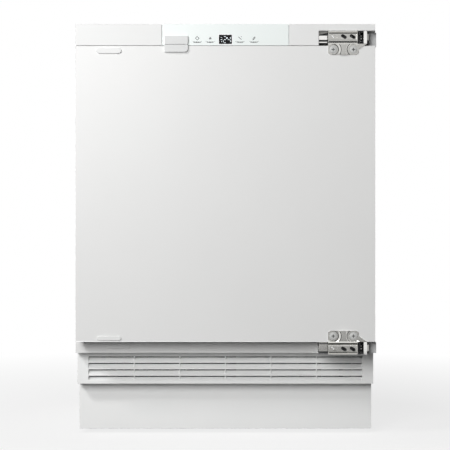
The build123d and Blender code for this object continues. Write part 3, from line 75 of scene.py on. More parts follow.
# Studio
CAMERA_PLACE = (-0.00078, -2.87225, 0.4225)
CAMERA_LENS = 106.5
CAMERA_FILM = 36.0
CAMERA_REACH = 50.0
FLOOR_SIZE = 14.0
FLOOR_KEEPS = 0.22
FLOOR_FADE = (0.5, 1.6)
LAMP_AIM = (0.0, -0.27, 0.42)
KEY = {"place": (-2.15, -2.37, 2.75), "size": 0.75, "power": 53.0}
SOFTBOX = {"place": (-1.3, -4.2, 1.7), "size": 2.2, "power": 124.0}
FILL = 0.05
CARDS = {
    "card_behind_camera": {"place": (0.65, -3.6, 0.9), "turn": (90, 0, 0), "size": (1.9, 1.6), "grey": 0.6},
    "card_on_floor": {"place": (0.6, -2.3, 0.004), "turn": (0, 0, 0), "size": (1.0, 2.6), "grey": 0.3},
    "card_overhead": {"place": (0.3, -1.3, 2.2), "turn": (25, 0, 0), "size": (2.6, 0.9), "grey": 0.02},
    "card_at_right": {"place": (2.0, 0.35, 0.8), "turn": (90, 0, 90), "size": (1.8, 2.2), "grey": 0.4},
}


def linear(code):
    """An sRGB hex colour as linear red, green, blue and alpha."""
    parts = [int(code[n:n + 2], 16) / 255 for n in (1, 3, 5)]
    return tuple(c / 12.92 if c <= 0.04045 else ((c + 0.055) / 1.055) ** 2.4 for c in parts) + (1.0,)


def per(millimetres):
    """The texture scale at which one repeat measures so many millimetres."""
    return 1.0 / (millimetres * MM)


def add(tree, kind, settings, links=None):
    """Adds a node, with its settings by attribute or input name, and its inputs linked. A node that is
    given as a link's source stands for its first output."""
    node = tree.nodes.new("ShaderNode" + kind)
    for name, value in settings.items():
        if isinstance(name, str) and hasattr(node, name):
            setattr(node, name, value)
        else:
            node.inputs[name].default_value = value
    for name, source in (links or {}).items():
        tree.links.new(source.outputs[0] if hasattr(source, "outputs") else source, node.inputs[name])
    return node


def new_finish(name):
    """A new node material: its tree, and the place on the object in metres."""
    finish = bpy.data.materials.new(name)
    finish.use_nodes = True
    tree = finish.node_tree
    tree.nodes.clear()
    place = add(tree, "TexCoord", {}).outputs["Object"]
    return finish, tree, place


def mottled_finish(name, grain, light, dark, settings, detail=2.0, distortion=0.0, gloss=None,
                   relief=None, fine=None):
    """A whole finish of two close colours in soft patches so many millimetres wide. The patches can set
    the gloss between two values, and lift the surface by a strength and a depth in millimetres, or
    a finer pattern of a size and a detail lifts it."""
    finish, tree, place = new_finish(name)
    patches = add(tree, "TexNoise", {"Scale": per(grain), "Detail": detail, "Distortion": distortion},
                  {"Vector": place})
    tone = add(tree, "Mix", {"data_type": "RGBA", 6: linear(light), 7: linear(dark)}, {0: patches})
    links = {"Base Color": tone.outputs[2]}
    if gloss:
        links["Roughness"] = add(tree, "MapRange", {"To Min": gloss[0], "To Max": gloss[1]},
                                 {"Value": patches})
    if relief:
        height = patches
        if fine:
            height = add(tree, "TexNoise", {"Scale": per(fine[0]), "Detail": fine[1]}, {"Vector": place})
        links["Normal"] = add(tree, "Bump", {"Strength": relief[0], "Distance": relief[1] * MM},
                              {"Height": height})
    shader = add(tree, "BsdfPrincipled", settings, links)
    add(tree, "OutputMaterial", {}, {"Surface": shader})
    return finish


def baked_enamel():
    """White powder coat baked on sheet steel: even gloss with a faint orange peel."""
    return mottled_finish("baked_enamel_on_steel", 180, "#E9E9E8", "#E5E5E4",
                          {"Roughness": 0.34, "IOR": 1.5}, relief=(0.12, 0.05), fine=(2.2, 1.0))


def moulded_abs(name, light, dark, roughness=0.4):
    """Injection moulded ABS from a spark-eroded mould: soft gloss over a fine, even grain."""
    return mottled_finish(name, 90, light, dark,
                          {"Roughness": roughness, "IOR": 1.52}, relief=(0.15, 0.03), fine=(0.7, 3.0))


def satin_screw_zinc():
    """Tumbled zinc on the ear screws and the rivets of the links: pale, even and satin."""
    return mottled_finish("tumbled_screw_zinc", 1.5, "#B4B4B2", "#A3A4A3",
                          {"Metallic": 1.0, "Roughness": 0.68}, 3.0, relief=(0.2, 0.03))


def mirror_nickel():
    """Polished nickel on the upper arm's nose and the strap: a clear mirror. On the upper nose it is a
    brighter copy of the lower nose's nickel: painted light.
    """
    return mottled_finish("polished_nickel", 5, "#F1F0EE", "#E8E7E4", {"Metallic": 1.0}, gloss=(0.05, 0.1))


def back_printed_acrylic():
    """Clear acrylic printed white from behind: a high gloss with a faint green tint."""
    return mottled_finish("back_printed_acrylic", 120, "#F2F8F6", "#EFF5F3",
                          {"Roughness": 0.3, "IOR": 1.49, "Coat Weight": 0.6, "Coat Roughness": 0.05}, 1.0)


def bezel_white_and_highlight():
    """Pure white gloss: print round the display window, and painted highlight on the door's folded edge. Next
    to no tint.
    """
    return mottled_finish("white_bezel_print_and_highlight", 20, "#FFFFFF", "#FBFCFC",
                          {"Roughness": 0.3, "IOR": 1.49}, 1.0)


def smoked_display_glass():
    """Black tinted acrylic over the display: near black, with a mirror gloss."""
    return mottled_finish("smoked_display_glass", 6, "#08080A", "#0C0D10",
                          {"Roughness": 0.12, "IOR": 1.49, "Specular IOR Level": 0.25}, 1.0)


def lit_segments():
    """Light-emitting segments behind the glass: cool white, brighter than what is round them."""
    finish, tree, place = new_finish("lit_display_segments")
    die = add(tree, "TexNoise", {"Scale": per(2), "Detail": 1.0}, {"Vector": place})
    tone = add(tree, "Mix", {"data_type": "RGBA", 6: linear("#DCE3E6"), 7: linear("#C6D0D5")},
               {0: die})
    shader = add(tree, "BsdfPrincipled", {"Roughness": 0.4, "Emission Strength": 0.45},
                 {"Base Color": tone.outputs[2], "Emission Color": tone.outputs[2]})
    add(tree, "OutputMaterial", {}, {"Surface": shader})
    return finish


def screen_ink():
    """Grey ink screen-printed on the acrylic: flat, with the faint grain of the mesh."""
    return mottled_finish("grey_screen_ink", 0.5, "#5A5C5E", "#6A6D6E", {"Roughness": 0.5}, 1.0)


def bright_nickel():
    """Nickel-plated pressed steel: near mirror, slightly soft where the press drew the sheet."""
    return mottled_finish("nickel_plated_steel", 7, "#DCDBD7", "#CFCECA",
                          {"Metallic": 1.0}, 3.0, gloss=(0.1, 0.24), relief=(0.18, 0.04), fine=(1.4, 2.0))


def zinc_plate():
    """Clear passivated zinc on screws, pins and cans: a slightly blue, satin metal."""
    return mottled_finish("clear_zinc_plate", 5, "#C9CCCE", "#B4B9BD",
                          {"Metallic": 1.0}, 3.0, gloss=(0.2, 0.38))


def blackened_steel_and_shade():
    """Steel links dipped black: a thin dark film, worn slightly grey where they rub. The same black is also
    painted shade on the leaves' ends, the outer links, the arms and the screws' recesses.
    """
    return mottled_finish("blackened_steel_and_painted_shade", 4, "#161617", "#2C2C2E",
                          {"Roughness": 0.38, "Metallic": 0.6}, 4.0)


def galvanised_sheet():
    """Hot-dip galvanised sheet: crystals of zinc, each with its own grey and gloss."""
    finish, tree, place = new_finish("galvanised_sheet")
    spangle = add(tree, "TexVoronoi", {"Scale": per(9)}, {"Vector": place})
    grey = add(tree, "RGBToBW", {}, {"Color": spangle.outputs["Color"]})
    tone = add(tree, "Mix", {"data_type": "RGBA", 6: linear("#AEB3B6"), 7: linear("#C6CACC")},
               {0: grey})
    gloss = add(tree, "MapRange", {"To Min": 0.3, "To Max": 0.5}, {"Value": grey})
    shader = add(tree, "BsdfPrincipled", {"Metallic": 1.0},
                 {"Base Color": tone.outputs[2], "Roughness": gloss})
    add(tree, "OutputMaterial", {}, {"Surface": shader})
    return finish


def polystyrene_liner():
    """Vacuum-formed polystyrene: glossy white that waves a little where it was drawn."""
    return mottled_finish("vacuum_formed_liner", 45, "#F0F2F1", "#E9ECEC",
                          {"Roughness": 0.22, "IOR": 1.59}, 1.0, relief=(0.2, 0.5))


def rolled_aluminium():
    """Roll-bonded aluminium: satin, with fine lines along the rolling direction."""
    finish, tree, place = new_finish("rolled_aluminium")
    along = add(tree, "Mapping", {"Scale": (0.02, 1.0, 1.0)}, {"Vector": place})
    lines = add(tree, "TexNoise", {"Scale": per(0.8), "Detail": 3.0}, {"Vector": along})
    tone = add(tree, "Mix", {"data_type": "RGBA", 6: linear("#D4D7D9"), 7: linear("#C3C7CA")},
               {0: lines})
    bump = add(tree, "Bump", {"Strength": 0.2, "Distance": 0.03 * MM}, {"Height": lines})
    shader = add(tree, "BsdfPrincipled", {"Metallic": 1.0, "Roughness": 0.33},
                 {"Base Color": tone.outputs[2], "Normal": bump})
    add(tree, "OutputMaterial", {}, {"Surface": shader})
    return finish


def glass_filled_nylon_and_shade():
    """Glass-filled black nylon: matt, with the grey swirl of its fibres near the surface. Behind the arms'
    noses it is painted shade.
    """
    return mottled_finish("glass_filled_nylon_and_shade", 3, "#17181A", "#26282A",
                          {"Roughness": 0.55, "IOR": 1.53}, 5.0, 1.5, relief=(0.2, 0.05))


def black_can_enamel():
    """Thick black enamel sprayed on the compressor can: glossy, with a coarse orange peel."""
    return mottled_finish("black_can_enamel", 40, "#111213", "#1D1E20",
                          {"Roughness": 0.22, "IOR": 1.5}, 4.0, relief=(0.3, 0.1), fine=(3.5, 1.0))


def dipped_condenser_paint():
    """Black paint that the condenser is dipped in: satin, thin on the edges."""
    return mottled_finish("dipped_black_paint", 8, "#141414", "#222324", {"Roughness": 0.45}, 3.0)


def moulded_rubber_and_shade():
    """Black moulded rubber: dull, with a little grey bloom. It is also the painted shade round the ear
    screws.
    """
    return mottled_finish("black_rubber_and_painted_shade", 6, "#191919", "#2B2B2A", {"Roughness": 0.8}, 4.0)


def drawn_copper():
    """Drawn copper tube: warm metal, browner where it has been heated and touched."""
    return mottled_finish("drawn_copper_tube", 14, "#D08A63", "#A8623F",
                          {"Metallic": 1.0}, 4.0, gloss=(0.22, 0.42))


def soft_pvc():
    """Soft grey-white PVC of the door seal: smooth and dull."""
    return mottled_finish("soft_seal_pvc", 30, "#D3D5D6", "#C8CBCC", {"Roughness": 0.55})


def drawer_polystyrene():
    """White moulded polystyrene tubs: a hard gloss with slight flow marks."""
    return mottled_finish("moulded_drawer_white", 70, "#ECF1F3", "#E2E9EC",
                          {"Roughness": 0.25, "IOR": 1.59}, 2.0, 0.8)


def clear_polystyrene():
    """Clear moulded polystyrene with a cool tint, as on freezer drawers."""
    return mottled_finish("clear_drawer_polystyrene", 60, "#E3F0F6", "#D6E8F0",
                          {"Roughness": 0.12, "IOR": 1.59, "Transmission Weight": 0.85},
                          2.0, 0.8, relief=(0.1, 0.2))


def rigid_foam():
    """Rigid polyurethane foam: pale yellow, with fine closed cells."""
    finish, tree, place = new_finish("rigid_polyurethane_foam")
    cells = add(tree, "TexVoronoi", {"Scale": per(1.2)}, {"Vector": place})
    tone = add(tree, "Mix", {"data_type": "RGBA", 6: linear("#EADCAE"), 7: linear("#D9C78F")},
               {0: cells})
    bump = add(tree, "Bump", {"Strength": 0.5, "Distance": 0.3 * MM}, {"Height": cells})
    shader = add(tree, "BsdfPrincipled", {"Roughness": 0.9},
                 {"Base Color": tone.outputs[2], "Normal": bump})
    add(tree, "OutputMaterial", {}, {"Surface": shader})
    return finish


def solder_mask():
    """A circuit board under green solder mask: its copper tracks show as a paler pattern."""
    finish, tree, place = new_finish("green_solder_mask")
    tracks = add(tree, "TexBrick", {"Scale": per(4), "Mortar Size": 0.06}, {"Vector": place})
    tone = add(tree, "Mix", {"data_type": "RGBA", 6: linear("#0F5234"), 7: linear("#1D6B45")},
               {0: tracks.outputs["Fac"]})
    shader = add(tree, "BsdfPrincipled", {"Roughness": 0.3},
                 {"Base Color": tone.outputs[2]})
    add(tree, "OutputMaterial", {}, {"Surface": shader})
    return finish


def tempered_spring():
    """Tempered spring steel: grey with a faint blue from the furnace."""
    return mottled_finish("tempered_spring_steel", 10, "#8E9297", "#7A828C",
                          {"Metallic": 1.0, "Roughness": 0.3})


ENAMEL, ACRYLIC, BEZEL_WHITE_AND_HIGHLIGHT = baked_enamel(), back_printed_acrylic(), bezel_white_and_highlight()
ABS = moulded_abs("moulded_white_abs", "#E8E8E7", "#E4E5E4")
# A paler copy of the white ABS as painted light: on the grille and the plinth it lifts their shade under the
# door, and on the slot wedges it is a painted highlight.
PAINTED_LIGHT_ABS = moulded_abs("painted_light_abs", "#F7F7F6", "#F3F4F3", 0.42)
GREY_ABS = moulded_abs("grey_white_abs", "#DCDDDC", "#D7D8D8")
# A greyer copy of the white ABS: painted shade for the caps in the hinge recesses.
SHADE_GREY_CAP_ABS = moulded_abs("painted_shade_cap_abs", "#D2D3D3", "#CCCDCD", 0.5)
GLASS, LIGHT, INK = smoked_display_glass(), lit_segments(), screen_ink()
SCREW, MIRROR = satin_screw_zinc(), mirror_nickel()
NICKEL, ZINC, BLACK_STEEL_AND_SHADE = bright_nickel(), zinc_plate(), blackened_steel_and_shade()
GALVANISED, LINER, ALUMINIUM = galvanised_sheet(), polystyrene_liner(), rolled_aluminium()
NYLON_AND_SHADE, CAN, CONDENSER = glass_filled_nylon_and_shade(), black_can_enamel(), dipped_condenser_paint()
RUBBER_AND_SHADE, COPPER, SEAL = moulded_rubber_and_shade(), drawn_copper(), soft_pvc()
DRAWER, CLEAR, FOAM = drawer_polystyrene(), clear_polystyrene(), rigid_foam()
BOARD, SPRING = solder_mask(), tempered_spring()

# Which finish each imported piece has, by its slot in the record
SLOT_FINISH = {
    "white_enamel": ENAMEL, "white_abs": ABS, "fascia_pmma": ACRYLIC, "display_glass": GLASS,
    "galvanised_steel": GALVANISED, "foam": FOAM, "liner_white": LINER, "spring_steel": SPRING,
    "circuit_board": BOARD, "hinge_nickel": NICKEL, "zinc_steel": ZINC,
    "evaporator_aluminium": ALUMINIUM, "black_nylon": NYLON_AND_SHADE, "condenser_black": CONDENSER,
    "compressor_black": CAN, "rubber_black": RUBBER_AND_SHADE, "copper": COPPER, "hinge_bright_steel": NICKEL,
    "hinge_dark_steel": BLACK_STEEL_AND_SHADE, "gasket_pvc": SEAL, "drawer_white": DRAWER, "drawer_clear": CLEAR,
}

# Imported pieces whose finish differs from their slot's usual one
NODE_FINISH = {
    # The grille and the plinth take the paler ABS: painted light against their shade under the door and the
    # rail.
    "vent_grille": PAINTED_LIGHT_ABS, "plinth_panel": PAINTED_LIGHT_ABS, "door_sensor_housing": GREY_ABS,
    "door_magnet_housing": GREY_ABS, "hinge_leaf_pins": BLACK_STEEL_AND_SHADE, "hinge_ground_pins": BLACK_STEEL_AND_SHADE,
}


def finish_of(node):
    return NODE_FINISH.get(node, SLOT_FINISH[SLOTS[node]])


def slot_of(node):
    """The record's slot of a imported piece, read before its finish is changed."""
    return frame["nodes"][node].data.materials[0].name.split(".")[0]


SLOTS = {node: slot_of(node) for node in frame["nodes"]}


def only(piece):
    """Selects one piece and nothing else."""
    bpy.ops.object.select_all(action="DESELECT")
    piece.select_set(True)
    bpy.context.view_layer.objects.active = piece


def finished(piece, body, finish):
    """Gives a modelled piece its finish, and its place on a body."""
    only(piece)
    bpy.ops.object.transform_apply(location=True, rotation=True, scale=True)
    piece.data.materials.clear()
    piece.data.materials.append(finish)
    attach(piece, body)
    return piece


def smoothed(piece, bend=40):
    """Smooth shading that leaves the flat faces flat and turns only in the rounded edges."""
    only(piece)
    bpy.ops.object.shade_smooth_by_angle(angle=math.radians(bend))
    flat = piece.modifiers.new("flat_faces", "WEIGHTED_NORMAL")
    flat.weight = 100
    flat.keep_sharp = True
    bpy.ops.object.modifier_apply(modifier=flat.name)


def chosen(piece, wanted, part="FACE"):
    """Opens a piece for editing and selects what a test picks by its middle and direction."""
    only(piece)
    bpy.ops.object.mode_set(mode="EDIT")
    bpy.ops.mesh.select_mode(type=part)
    bpy.ops.mesh.select_all(action="DESELECT")
    form = bmesh.from_edit_mesh(piece.data)
    for item in (form.faces if part == "FACE" else form.edges):
        ends = [corner.co for corner in item.verts]
        middle = sum(ends, Vector()) / len(ends)
        direction = item.normal if part == "FACE" else (ends[1] - ends[0]).normalized()
        item.select_set(bool(wanted(middle, direction)))
    form.select_flush_mode()
    bmesh.update_edit_mesh(piece.data)


def closed():
    """Leaves edit mode."""
    bpy.ops.object.mode_set(mode="OBJECT")


def started(name):
    """Names the primitive that was just added and brings its place into its mesh."""
    piece = bpy.context.active_object
    piece.name = name
    only(piece)
    bpy.ops.object.transform_apply(location=True, rotation=True, scale=True)
    return piece


def bar(name, low, high):
    """A box between two corners, to be shaped further."""
    bpy.ops.object.select_all(action="DESELECT")
    bpy.ops.mesh.primitive_cube_add(size=1, location=[(a + b) / 2 for a, b in zip(low, high)])
    bpy.context.active_object.scale = [b - a for a, b in zip(low, high)]
    return started(name)


def rod(name, place, radius, length, axis="Z", sides=32):
    """A round bar about a middle, along one axis, to be shaped further."""
    turn = {"X": (0, math.radians(90), 0), "Y": (math.radians(90), 0, 0), "Z": (0, 0, 0)}[axis]
    bpy.ops.object.select_all(action="DESELECT")
    bpy.ops.mesh.primitive_cylinder_add(vertices=sides, radius=radius, depth=length,
                                        location=place, rotation=turn)
    return started(name)


def plate(name, place, radius, sides, turn=0.0):
    """A flat polygon that faces the front, to be inset and cut."""
    bpy.ops.object.select_all(action="DESELECT")
    bpy.ops.mesh.primitive_circle_add(vertices=sides, radius=radius, fill_type="NGON", location=place,
                                      rotation=(math.radians(90), math.radians(turn), 0))
    return started(name)


def modified(piece, kind, **settings):
    """Adds a modifier with its settings and applies it."""
    change = piece.modifiers.new(kind.lower(), kind)
    for name, value in settings.items():
        setattr(change, name, value)
    only(piece)
    bpy.ops.object.modifier_apply(modifier=change.name)
    return piece


def rounded(piece, width, segments=2, bend=30):
    """Rounds the edges that bend more than an angle, and shades the piece smooth."""
    modified(piece, "BEVEL", width=width, segments=segments, limit_method="ANGLE",
             angle_limit=math.radians(bend))
    smoothed(piece)
    return piece


def sliced(piece, place, direction, cleared=False):
    """Cuts a piece along a plane, and takes away what is in front of it if that is asked."""
    only(piece)
    bpy.ops.object.mode_set(mode="EDIT")
    bpy.ops.mesh.select_all(action="SELECT")
    bpy.ops.mesh.bisect(plane_co=place, plane_no=direction, clear_outer=cleared)
    closed()


def cut_by(piece, tool):
    """Takes the tool's shape away from a piece, and removes the tool."""
    modified(piece, "BOOLEAN", operation="DIFFERENCE", object=tool, solver="EXACT")
    bpy.data.objects.remove(tool, do_unlink=True)
    return piece


def joined(name, pieces):
    """Several shapes as one piece."""
    bpy.ops.object.select_all(action="DESELECT")
    for piece in pieces:
        piece.select_set(True)
    bpy.context.view_layer.objects.active = pieces[0]
    if len(pieces) > 1:
        bpy.ops.object.join()
    pieces[0].name = name
    return pieces[0]


def ringed(name, low, high, wall):
    """A rectangular frame between two corners, open from front to back."""
    piece = bar(name, low, high)
    chosen(piece, lambda middle, normal: abs(normal.y) > ALONG)
    bpy.ops.mesh.inset(thickness=wall)
    bpy.ops.mesh.bridge_edge_loops()
    closed()
    return piece


def taken(node):
    """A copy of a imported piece, merged into clean faces and ready to be worked on."""
    piece = bpy.data.objects.new(node + "_finished", frame["nodes"][node].data.copy())
    bpy.context.scene.collection.objects.link(piece)
    only(piece)
    bpy.ops.mesh.customdata_custom_splitnormals_clear()
    bpy.ops.object.mode_set(mode="EDIT")
    bpy.ops.mesh.select_all(action="SELECT")
    bpy.ops.mesh.remove_doubles(threshold=0.004 * MM)
    bpy.ops.mesh.dissolve_limited(angle_limit=math.radians(0.6))
    closed()
    return piece


def returned(piece, node, width, segments=2, bend=30):
    """Rounds the edges of a worked copy, as the real part's are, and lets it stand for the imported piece."""
    rounded(piece, width * MM, segments, bend)
    finished(piece, body_of(frame["nodes"][node])[0], finish_of(node))
    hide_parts(node)
    return piece


def shifted(piece, wanted, shift, part="EDGE"):
    """Moves the chosen edges or faces of a piece."""
    chosen(piece, wanted, part)
    bpy.ops.transform.translate(value=shift)
    closed()


def painted(piece, finish, wanted):
    """Gives the chosen faces of a piece a finish of their own."""
    piece.data.materials.append(finish)
    chosen(piece, wanted)
    piece.active_material_index = len(piece.data.materials) - 1
    bpy.ops.object.material_slot_assign()
    closed()


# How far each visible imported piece's edges are rounded, in millimetres
EDGES = {
    "door_skin": 0.9, "outer_shell": 0.5, "lower_rail": 0.4, "panel_cover_left": 0.8,
    "panel_cover_right": 0.8, "control_fascia": 0.7, "display_window": 0.15, "door_sensor_housing": 0.6,
    "door_magnet_housing": 0.35, "plinth_panel": 0.6, "vent_grille": 0.35, "door_caps": 0.3,
    "door_liner": 1.2, "hinge_control_links": 0.3, "drawer_front_bottom": 0.8,
    "drawer_front_middle": 0.8, "drawer_front_top": 0.8, "drawer_tub_bottom": 0.8, "drawer_tub_middle": 0.8,
    "drawer_tub_top": 0.8, "inner_liner": 0.9, "power_inlet": 0.5, "start_relay_box": 1.0,
}


def dress_packed_pieces():
    for node, source in frame["nodes"].items():
        source.data.materials.clear()
        source.data.materials.append(finish_of(node))
    for node, width in EDGES.items():
        returned(taken(node), node, width)


# Display: places are counted from the middle of its window
DOOR_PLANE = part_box("door_skin")[0].y
WINDOW_LOW, WINDOW_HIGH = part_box("display_window")
WINDOW_X, WINDOW_Z = 0.0, (WINDOW_LOW.z + WINDOW_HIGH.z) / 2
WINDOW_HALF = 12.65 * MM
BEZEL = 1.5 * MM
BEZEL_RISE = 0.15 * MM
SEGMENT = (4.0 * MM, 1.25 * MM)
SEGMENT_RISE = 0.1 * MM
DIGIT_HALF = (3.2 * MM, 6.2 * MM)
DIGIT_PITCH = 7.6 * MM
DIGIT_MIDDLE = (-0.9 * MM, -0.5 * MM)
LIT = {"2": "abged", "4": "fgbc"}
BEZEL_SINK = 0.05 * MM
POINTED = 0.45
MARKS_LEFT = 6.7 * MM
MINUS = (3.2 * MM, 1.0 * MM)
MARK = (2.2 * MM, 1.1 * MM)
MARK_HEIGHTS = ((4.3 * MM, 0), (-3.7 * MM, 90))


def display_bezel():
    """The thin white rim round the display."""
    low = (WINDOW_X - WINDOW_HALF - BEZEL, DOOR_PLANE - BEZEL_RISE, WINDOW_LOW.z - BEZEL)
    high = (WINDOW_X + WINDOW_HALF + BEZEL, DOOR_PLANE + BEZEL_SINK, WINDOW_HIGH.z + BEZEL)
    rim = ringed("display_bezel", low, high, BEZEL)
    rounded(rim, 0.06 * MM)
    finished(rim, "root", BEZEL_WHITE_AND_HIGHLIGHT)


def segment(length, thick, x, z, turn=0.0):
    """One lit segment: a thin bar with pointed ends."""
    face = WINDOW_LOW.y
    piece = bar("segment", (x - length / 2, face - SEGMENT_RISE, z - thick / 2),
                (x + length / 2, face + SEGMENT_RISE, z + thick / 2))
    chosen(piece, lambda middle, way: abs(way.y) > ALONG, "EDGE")
    bpy.ops.mesh.bevel(offset=POINTED * thick, segments=1, affect="EDGES")
    closed()
    piece.data.transform(Matrix.Translation((x, 0, z)) @ Matrix.Rotation(math.radians(turn), 4, "Y")
                         @ Matrix.Translation((-x, 0, -z)))
    return piece


def digit(figure, x, z):
    """A seven-segment figure about its middle."""
    half, tall = DIGIT_HALF
    places = {"a": (0, tall, 0), "b": (half, tall / 2, 90), "c": (half, -tall / 2, 90), "d": (0, -tall, 0),
              "e": (-half, -tall / 2, 90), "f": (-half, tall / 2, 90), "g": (0, 0, 0)}
    return [segment(*SEGMENT, x + places[part][0], z + places[part][1], places[part][2])
            for part in LIT[figure]]


def display_digits():
    """The lit reading, with the minus sign and two small marks at its left."""
    x, z = WINDOW_X + DIGIT_MIDDLE[0], WINDOW_Z + DIGIT_MIDDLE[1]
    pieces = digit("2", x, z) + digit("4", x + DIGIT_PITCH, z)
    pieces.append(segment(*MINUS, x - MARKS_LEFT, z))
    pieces += [segment(*MARK, x - MARKS_LEFT, z + rise, turn) for rise, turn in MARK_HEIGHTS]
    finished(joined("display_digits", pieces), "root", LIGHT)


# Touch symbols printed on the fascia: their places across, and their height
SYMBOL_Z = WINDOW_Z + 2.2 * MM
SYMBOL_X = (-55.0 * MM, -29.5 * MM, 28.5 * MM, 56.0 * MM)
LABEL_Z = WINDOW_Z - 5.2 * MM
LABEL_DASHES = ((3.6, 4.6, 2.8, 2.6), (3.0, 5.2, 4.0), (4.4, 2.8, 3.8), (3.2, 4.4, 2.4, 2.2))
LABEL_GAP = 0.55 * MM
LABEL_TALL = 1.7 * MM
INK_RISE = 0.04 * MM
STROKE = 1.0 * MM
ARC_R = 15.0 * MM
ARC_HALF = 9.8 * MM
ARC_STROKE = 0.5 * MM
ARC_DROP = 1.6 * MM
DIAMOND_R = 4.4 * MM
STAR_ARM = (5.4 * MM, 1.1 * MM)
SLANT = (8.2 * MM, 1.3 * MM, 40)
DOT = (2.6 * MM, 3.0 * MM, 1.6 * MM)
PRINT_LEAF = {"radius": 3.6 * MM, "narrow": 0.5, "stroke": 0.8 * MM, "turn": 35}
STEM_PLACE = (-0.6 * MM, -0.8 * MM)
STEM = (7.6 * MM, 0.8 * MM, -55)


def printed(name, pieces):
    """Flat shapes as one print on the fascia, with the thickness of the ink."""
    print_piece = joined(name, pieces)
    modified(print_piece, "SOLIDIFY", thickness=INK_RISE, offset=0.0)
    finished(print_piece, "root", INK)


def dash(x, z, length, tall, turn=0.0):
    """A short printed stroke with rounded ends."""
    bpy.ops.object.select_all(action="DESELECT")
    bpy.ops.mesh.primitive_plane_add(size=1, location=(0, 0, 0), rotation=(math.radians(90), 0, 0))
    bpy.context.active_object.scale = (length, tall, 1)
    piece = started("dash")
    only(piece)
    bpy.ops.object.mode_set(mode="EDIT")
    bpy.ops.mesh.select_all(action="SELECT")
    bpy.ops.mesh.bevel(offset=0.3 * tall, segments=3, affect="VERTICES")
    closed()
    place = Matrix.Translation((x, DOOR_PLANE - INK_RISE / 2, z))
    piece.data.transform(place @ Matrix.Rotation(math.radians(turn), 4, "Y"))
    return piece


def outline_of(piece, stroke):
    """Leaves only a stroke's width round a flat polygon."""
    chosen(piece, lambda middle, normal: True)
    bpy.ops.mesh.inset(thickness=stroke)
    bpy.ops.mesh.delete(type="FACE")
    closed()
    return piece


def label_arc(x):
    """The shallow printed bow under a symbol."""
    middle = LABEL_Z - ARC_DROP + ARC_R
    ring = plate("arc", (x, DOOR_PLANE - INK_RISE / 2, middle), ARC_R, 64)
    outline_of(ring, ARC_STROKE)
    keep = middle - math.sqrt(ARC_R ** 2 - ARC_HALF ** 2)
    sliced(ring, (x, DOOR_PLANE, keep), (0, 0, 1), True)
    return ring


def label_dashes(x, lengths):
    """A row of plain dashes in the place of a label."""
    run = sum(lengths) * MM + LABEL_GAP * (len(lengths) - 1)
    start = x - run / 2
    dashes = []
    for length in lengths:
        dashes.append(dash(start + length * MM / 2, LABEL_Z, length * MM, LABEL_TALL))
        start += length * MM + LABEL_GAP
    return dashes


def touch_symbols():
    """Four plain symbols: a diamond, a star, a slanted stroke with a dot, and a leaf."""
    face = DOOR_PLANE - INK_RISE / 2
    first, second, third, fourth = SYMBOL_X
    diamond = outline_of(plate("diamond", (first, face, SYMBOL_Z), DIAMOND_R, 4), STROKE)
    printed("symbol_diamond", [diamond])
    printed("symbol_star", [dash(second, SYMBOL_Z, *STAR_ARM, turn) for turn in (0, 60, 120)])
    printed("symbol_stroke", [dash(third, SYMBOL_Z, *SLANT),
                              dash(third + DOT[0], SYMBOL_Z + DOT[1], DOT[2], DOT[2])])
    leaf = plate("leaf", (0, 0, 0), PRINT_LEAF["radius"], 24)
    leaf.data.transform(Matrix.Diagonal((PRINT_LEAF["narrow"], 1, 1, 1)))
    outline_of(leaf, PRINT_LEAF["stroke"])
    leaf.data.transform(Matrix.Translation((fourth, face, SYMBOL_Z))
                        @ Matrix.Rotation(math.radians(PRINT_LEAF["turn"]), 4, "Y"))
    printed("symbol_leaf", [leaf, dash(fourth + STEM_PLACE[0], SYMBOL_Z + STEM_PLACE[1], *STEM)])
    for number, (x, lengths) in enumerate(zip(SYMBOL_X, LABEL_DASHES), 1):
        printed(f"label_{number}", [label_arc(x)] + label_dashes(x, lengths))


def control_band():
    display_bezel()
    display_digits()
    touch_symbols()


# Hinges: a height is counted from the hinge's middle, away from its ears, and a depth from the door's front
LEAF_HALF = 11.5 * MM
LEAF_FACE = 57.4 * MM
LEAF_SLITS = ((6.6 * MM, 8.4 * MM), (-10.4 * MM, -7.8 * MM))
SLIT_END = 1.2 * MM
SLIT_DEPTHS = (-7.0 * MM, -0.9 * MM)
EAR_LAND = 10.4 * MM
EAR_LAND_DROP = 0.7 * MM
POCKET_EDGE = 12.7 * MM
POCKET_DROP = 0.9 * MM
LAND_END = 13.7 * MM
EAR_LAND_LEAN = {1: 0.6 * MM, -1: -0.8 * MM}
TOP_LAND = 10.6 * MM
TOP_LAND_LEANS = (0.44 * MM, 0.16 * MM)
EAR_CORNER = 6.0 * MM
LIP_WIDTH = 2.2 * MM
LIP_HEIGHTS = (-6.2 * MM, 6.6 * MM)
LIP_DEPTHS = (-5.35 * MM, -4.3 * MM)
LIP_LEAN = 0.35 * MM
LINK_START = 0.4 * MM
PAD_PLACE = (10.6 * MM, 0.9 * MM)
PAD_DEPTH = 3.5 * MM
PAD_HALF = (7.6 * MM, 4.6 * MM)
WEDGE = (6.4 * MM, 2.1 * MM)
WEDGE_SHIFT = 1.6 * MM
WEDGE_TURN = 42.0
STRAP_LEAN = 1.3 * MM
STRAP_WIDTH = 6.5 * MM
STRAP_SIDE_REACH = 11.5 * MM
SIDE_GREY = (-5.5 * MM, 6.8 * MM)
RIVET_PLACE = (-12.6 * MM, 7.6 * MM)
RIVET_HEIGHTS = (4.0 * MM, -1.6 * MM)
NOSE_REACH = (0.8 * MM, 36.5 * MM)
NOSE_DEPTHS = (8.0 * MM, 14.0 * MM)
NOSE_LEAN = 0.215
NOSE_TAPER = 3.6 * MM
BLOCK_LENGTH = 56.0 * MM
NOSE_WEB = {1: (-3.9 * MM, 4.9 * MM), -1: (-7.2 * MM, 6.6 * MM)}
